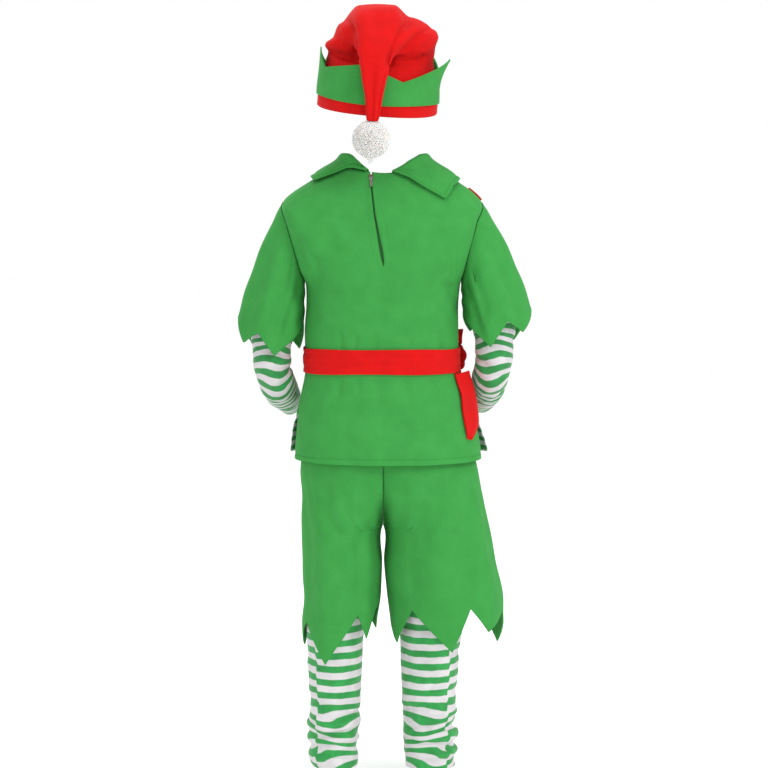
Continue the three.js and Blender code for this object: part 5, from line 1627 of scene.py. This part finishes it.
@dataclass
class Hat:
    """The folded red crown with its tail, the green band of points, the brim and the pompom."""

    finishes: Finishes

    def crown(self) -> ClothPiece:
        """The crown: its section turns about the crease line, then runs down as the tail."""
        u, v = np.meshgrid(np.linspace(0, 1, 150, endpoint=False), np.linspace(0, CROWN.last, 170))
        points = crown_section(u, v)
        lift = creased(CROWN_CREASES, u * 360, v * 10) + ripple(u * 260, v * 22, 44, 1.6, 30)
        points = hat_to_row(seam_faded(points, lift, True, eased(v, 2.0, 3.2)))
        points = self.slumped(points, eased(v, 2.4, 4.2) * eased(13.6 - v, 0, 1.5))
        return self.piece("hat_crown", points, self.finishes.red, FELT)

    def slumped(self, points: Array, share: Array) -> Array:
        """The crown as it slumps: a sloping left side with a flap's corner, a box-like right side.

        Args:
            points: the crown in the shared frame.
            share: how much of the slump each point takes.

        Returns:
            The moved points.
        """
        x, y, z = (points[..., k] for k in range(3))
        behind = eased(y, 0, 40)
        sink = 13 * eased(-x, 18, 40) * eased(z, 205, 262) + 15 * eased(x, 36, 62) * eased(z, 212, 262)
        sink = sink + 3.0 * eased(z, 262, 284)
        flap = 15 * np.exp(-(((z - 213) / 11) ** 2)) * eased(x, 42, 78) * behind
        corner = 5 * np.exp(-(((z - 236) / 15) ** 2)) * eased(-x, 50, 78)
        moved = points + stack(flap - corner, 4 * flap / 15, -sink) * share[..., None]
        lift = creased(SLUMP_FOLDS, moved[..., 0], moved[..., 2]) * behind * share
        return moved + outward_normals(points, True) * lift[..., None]

    def band(self) -> ClothPiece:
        """The green band, cut in five points that stand away from the crown."""
        shares = with_angles(230, POINTS)
        u, v = np.meshgrid(shares, np.linspace(0, 1, 40))
        angle = u * 360
        top, lean = POINTS.around(angle, "z"), POINTS.around(angle, "lean")
        out = BRIM_OUT + 2.6 - 2.4 * eased(v, 0, 0.7) + lean * np.maximum(0, (v - 0.3) / 0.7) ** 1.6
        out = out + 0.9 * np.sin(np.radians(angle) * 7 + 0.8) * np.sin(math.pi * v)
        foot = HAT_BRIM - 5 + 1.2 * np.sin(np.radians(angle) * 3 + 0.5)
        z = foot + (top - foot) * v
        points = hat_ring(HAT_HALF + out, HAT_DEEP + out, np.radians(angle), z)
        return self.piece("hat_points", hat_to_row(points), self.finishes.green, FELT)

    def brim(self) -> ClothPiece:
        """The brim: a band of red felt folded double, so its edges are round."""
        u, v = np.meshgrid(np.linspace(0, 1, 200, endpoint=False), np.linspace(0, 1, 26))
        soft = 2.0 * np.sqrt(np.maximum(1 - np.abs(2 * v - 1) ** 4, 0)) - 0.8
        swell = soft + 0.35 * np.sin(u * 2 * math.pi * 9 + 0.7) + 0.5 * np.sin(u * 2 * math.pi * 4 + 2.0)
        out = BRIM_OUT - 0.8 + np.clip(swell, -0.4, 1.0)
        points = hat_ring(HAT_HALF + out, HAT_DEEP + out, 2 * math.pi * u, HAT_BRIM * (1 - v))
        return self.piece("hat_brim", hat_to_row(points), self.finishes.red, BRIM_THICK)

    @staticmethod
    def piece(node: str, points: Array, finish: Finish, thickness: float) -> ClothPiece:
        """A closed ring of felt on the hat."""
        made = shell(f"{node}_cloth", points, thickness, closed=True)
        rests = () if node == "hat_crown" else ("hat_crown",)
        held = "folded" if node == "hat_brim" else "draped"
        return ClothPiece(made, node, finish, points, held, True, rests_on=rests)

    def pompom(self) -> None:
        """The pompom: a round core closely set with curved tufts of pile."""
        rng = np.random.default_rng(CRAFT_SEED)
        count, core = TUFTS, POMPOM_CORE
        heights = 1 - 2 * (np.arange(count) + 0.5) / count
        spiral = np.arange(count) * math.pi * (3 - math.sqrt(5))
        flat = np.sqrt(1 - heights**2)
        even = stack(flat * np.cos(spiral), flat * np.sin(spiral), heights)
        out = unit(even + rng.normal(0, 0.05, (count, 3)))
        side = unit(np.cross(out, rng.normal(0, 1, (count, 3))))
        across = np.cross(out, side)
        reach = (POMPOM_RADIUS - core + 0.6) * rng.uniform(0.72, 1.0, (count, 1))
        bend = rng.uniform(0.15, 0.75, (count, 1))
        axes = hat_to_row(np.eye(3)) - hat_to_row(np.zeros((3, 3)))
        down = np.array([0.04, 0.0, -1.0]) @ axes.T
        ends = np.exp(-(((1 - out @ unit(down)) / 0.012) ** 2))[:, None]
        reach, bend = reach * (1 + 1.1 * ends), bend * (1 - 0.8 * ends)
        spine = [(0.0, 0.9), (0.4, 0.85), (0.75, 0.6), (1.0, 0.0)]
        points = []
        for share, half in spine:
            away = core + reach * share * (1 - 0.12 * bend * share)
            middle = out * away + side * reach * bend * share**2
            for corner in range(3 if half else 1):
                turn = corner * 2 * math.pi / 3
                points.append(middle + (side * math.cos(turn) + across * math.sin(turn)) * half)
        tufts = np.stack(points, axis=1)
        rings = [(3 * k + i, 3 * k + (i + 1) % 3, 3 * k + 3 + (i + 1) % 3, 3 * k + 3 + i)
                 for k in range(2) for i in range(3)]
        tips = [(6 + i, 6 + (i + 1) % 3, 9) for i in range(3)]
        steps = 10 * np.arange(count)[:, None, None]
        quads = (np.array(rings)[None] + steps).reshape(-1, 4)
        ends = (np.array(tips)[None] + steps).reshape(-1, 3)
        centre = np.array(POMPOM_PLACE)
        ball = ball_grid(64, 40, 0.03, 3.11)
        made = closed_lump("pompom_core", hat_to_row(ball * (core + 0.6) + centre))
        placed = hat_to_row(tufts.reshape(-1, 3) + centre)
        pile = faces_to_mesh("pompom_pile", placed, quads.tolist() + ends.tolist())
        for piece in (made, pile):
            clothe(piece, self.finishes.plush)
        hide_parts("pompom")

    def build(self) -> None:
        """Builds and dresses the hat's pieces."""
        for piece in (self.crown(), self.band(), self.brim()):
            piece.dress()
        self.pompom()


@dataclass(frozen=True)
class Lamp:
    """A square soft light aimed at the costume's middle."""

    name: str
    place: tuple[float, float, float]
    size: float
    power: float


@dataclass
class Studio:
    """The pale floor, soft lamps and the camera at the photo's angle."""

    middle: tuple[float, float, float] = (-0.0015, 0.0, -0.291)
    floor_z: float = -0.895
    camera_place: tuple[float, float, float] = (-0.0015, 3.75, 0.045)
    lens_mm: float = 117.2
    lamps: tuple[Lamp, ...] = (
        Lamp("key", (-2.2, 2.4, 2.0), 1.0, 50),
        Lamp("fill", (-0.7, 3.4, -0.2), 1.4, 14),
        Lamp("top", (0.0, 0.4, 2.6), 1.2, 20),
        Lamp("front", (1.4, -2.8, 1.6), 1.4, 34),
    )

    def build(self) -> None:
        """Sets the floor, world, lamps, camera and colour view."""
        self.floor()
        world = bpy.data.worlds.new("studio")
        world.use_nodes = True
        sky = world.node_tree.nodes["Background"]
        feed(world.node_tree, sky, {"Color": (1.0, 1.0, 1.0, 1.0), "Strength": 1.0})
        bpy.context.scene.world = world
        for lamp in self.lamps:
            light = bpy.data.lights.new(lamp.name, "AREA")
            light.shape, light.size, light.energy = "SQUARE", lamp.size, lamp.power
            self.aim(bpy.data.objects.new(lamp.name, light), lamp.place)
        camera = bpy.data.cameras.new("camera")
        camera.lens, camera.sensor_width = self.lens_mm, 36.0
        view = bpy.data.objects.new("camera", camera)
        self.aim(view, self.camera_place)
        bpy.context.scene.camera = view
        bpy.context.scene.view_settings.view_transform = "Standard"

    def floor(self) -> None:
        """A wide pale floor."""
        half = 6.0
        mesh = bpy.data.meshes.new("floor")
        corners = [(x * half, y * half, self.floor_z) for x, y in ((-1, -1), (1, -1), (1, 1), (-1, 1))]
        mesh.from_pydata(corners, [], [(0, 1, 2, 3)])
        floor = linked("floor", mesh)
        material, tree, shader, _ = new_material("pale matt floor")
        feed(tree, shader, {"Base Color": linear("#fefefe"), "Roughness": 0.9})
        mesh.materials.append(material)

    def aim(self, item: Piece, place: tuple[float, float, float]) -> None:
        """Puts a lamp or the camera at a place, looking at the costume's middle."""
        bpy.context.scene.collection.objects.link(item)
        item.location = place
        item.rotation_euler = (Vector(self.middle) - Vector(place)).to_track_quat("-Z", "Y").to_euler()


def main() -> None:
    """Builds the costume over its frame, then the studio."""
    logging.basicConfig(level=logging.INFO, format="%(message)s")
    finishes = Finishes.make()
    TunicBody(finishes).build()
    for side in Side:
        Collar(side, finishes).build()
        Arm(side, finishes).build()
        Legwear(side, finishes).build()
    Sash(finishes).build()
    Zip(finishes).build()
    Waistband(finishes).build()
    Hat(finishes).build()
    Studio().build()


if __name__ == "__main__":
    main()
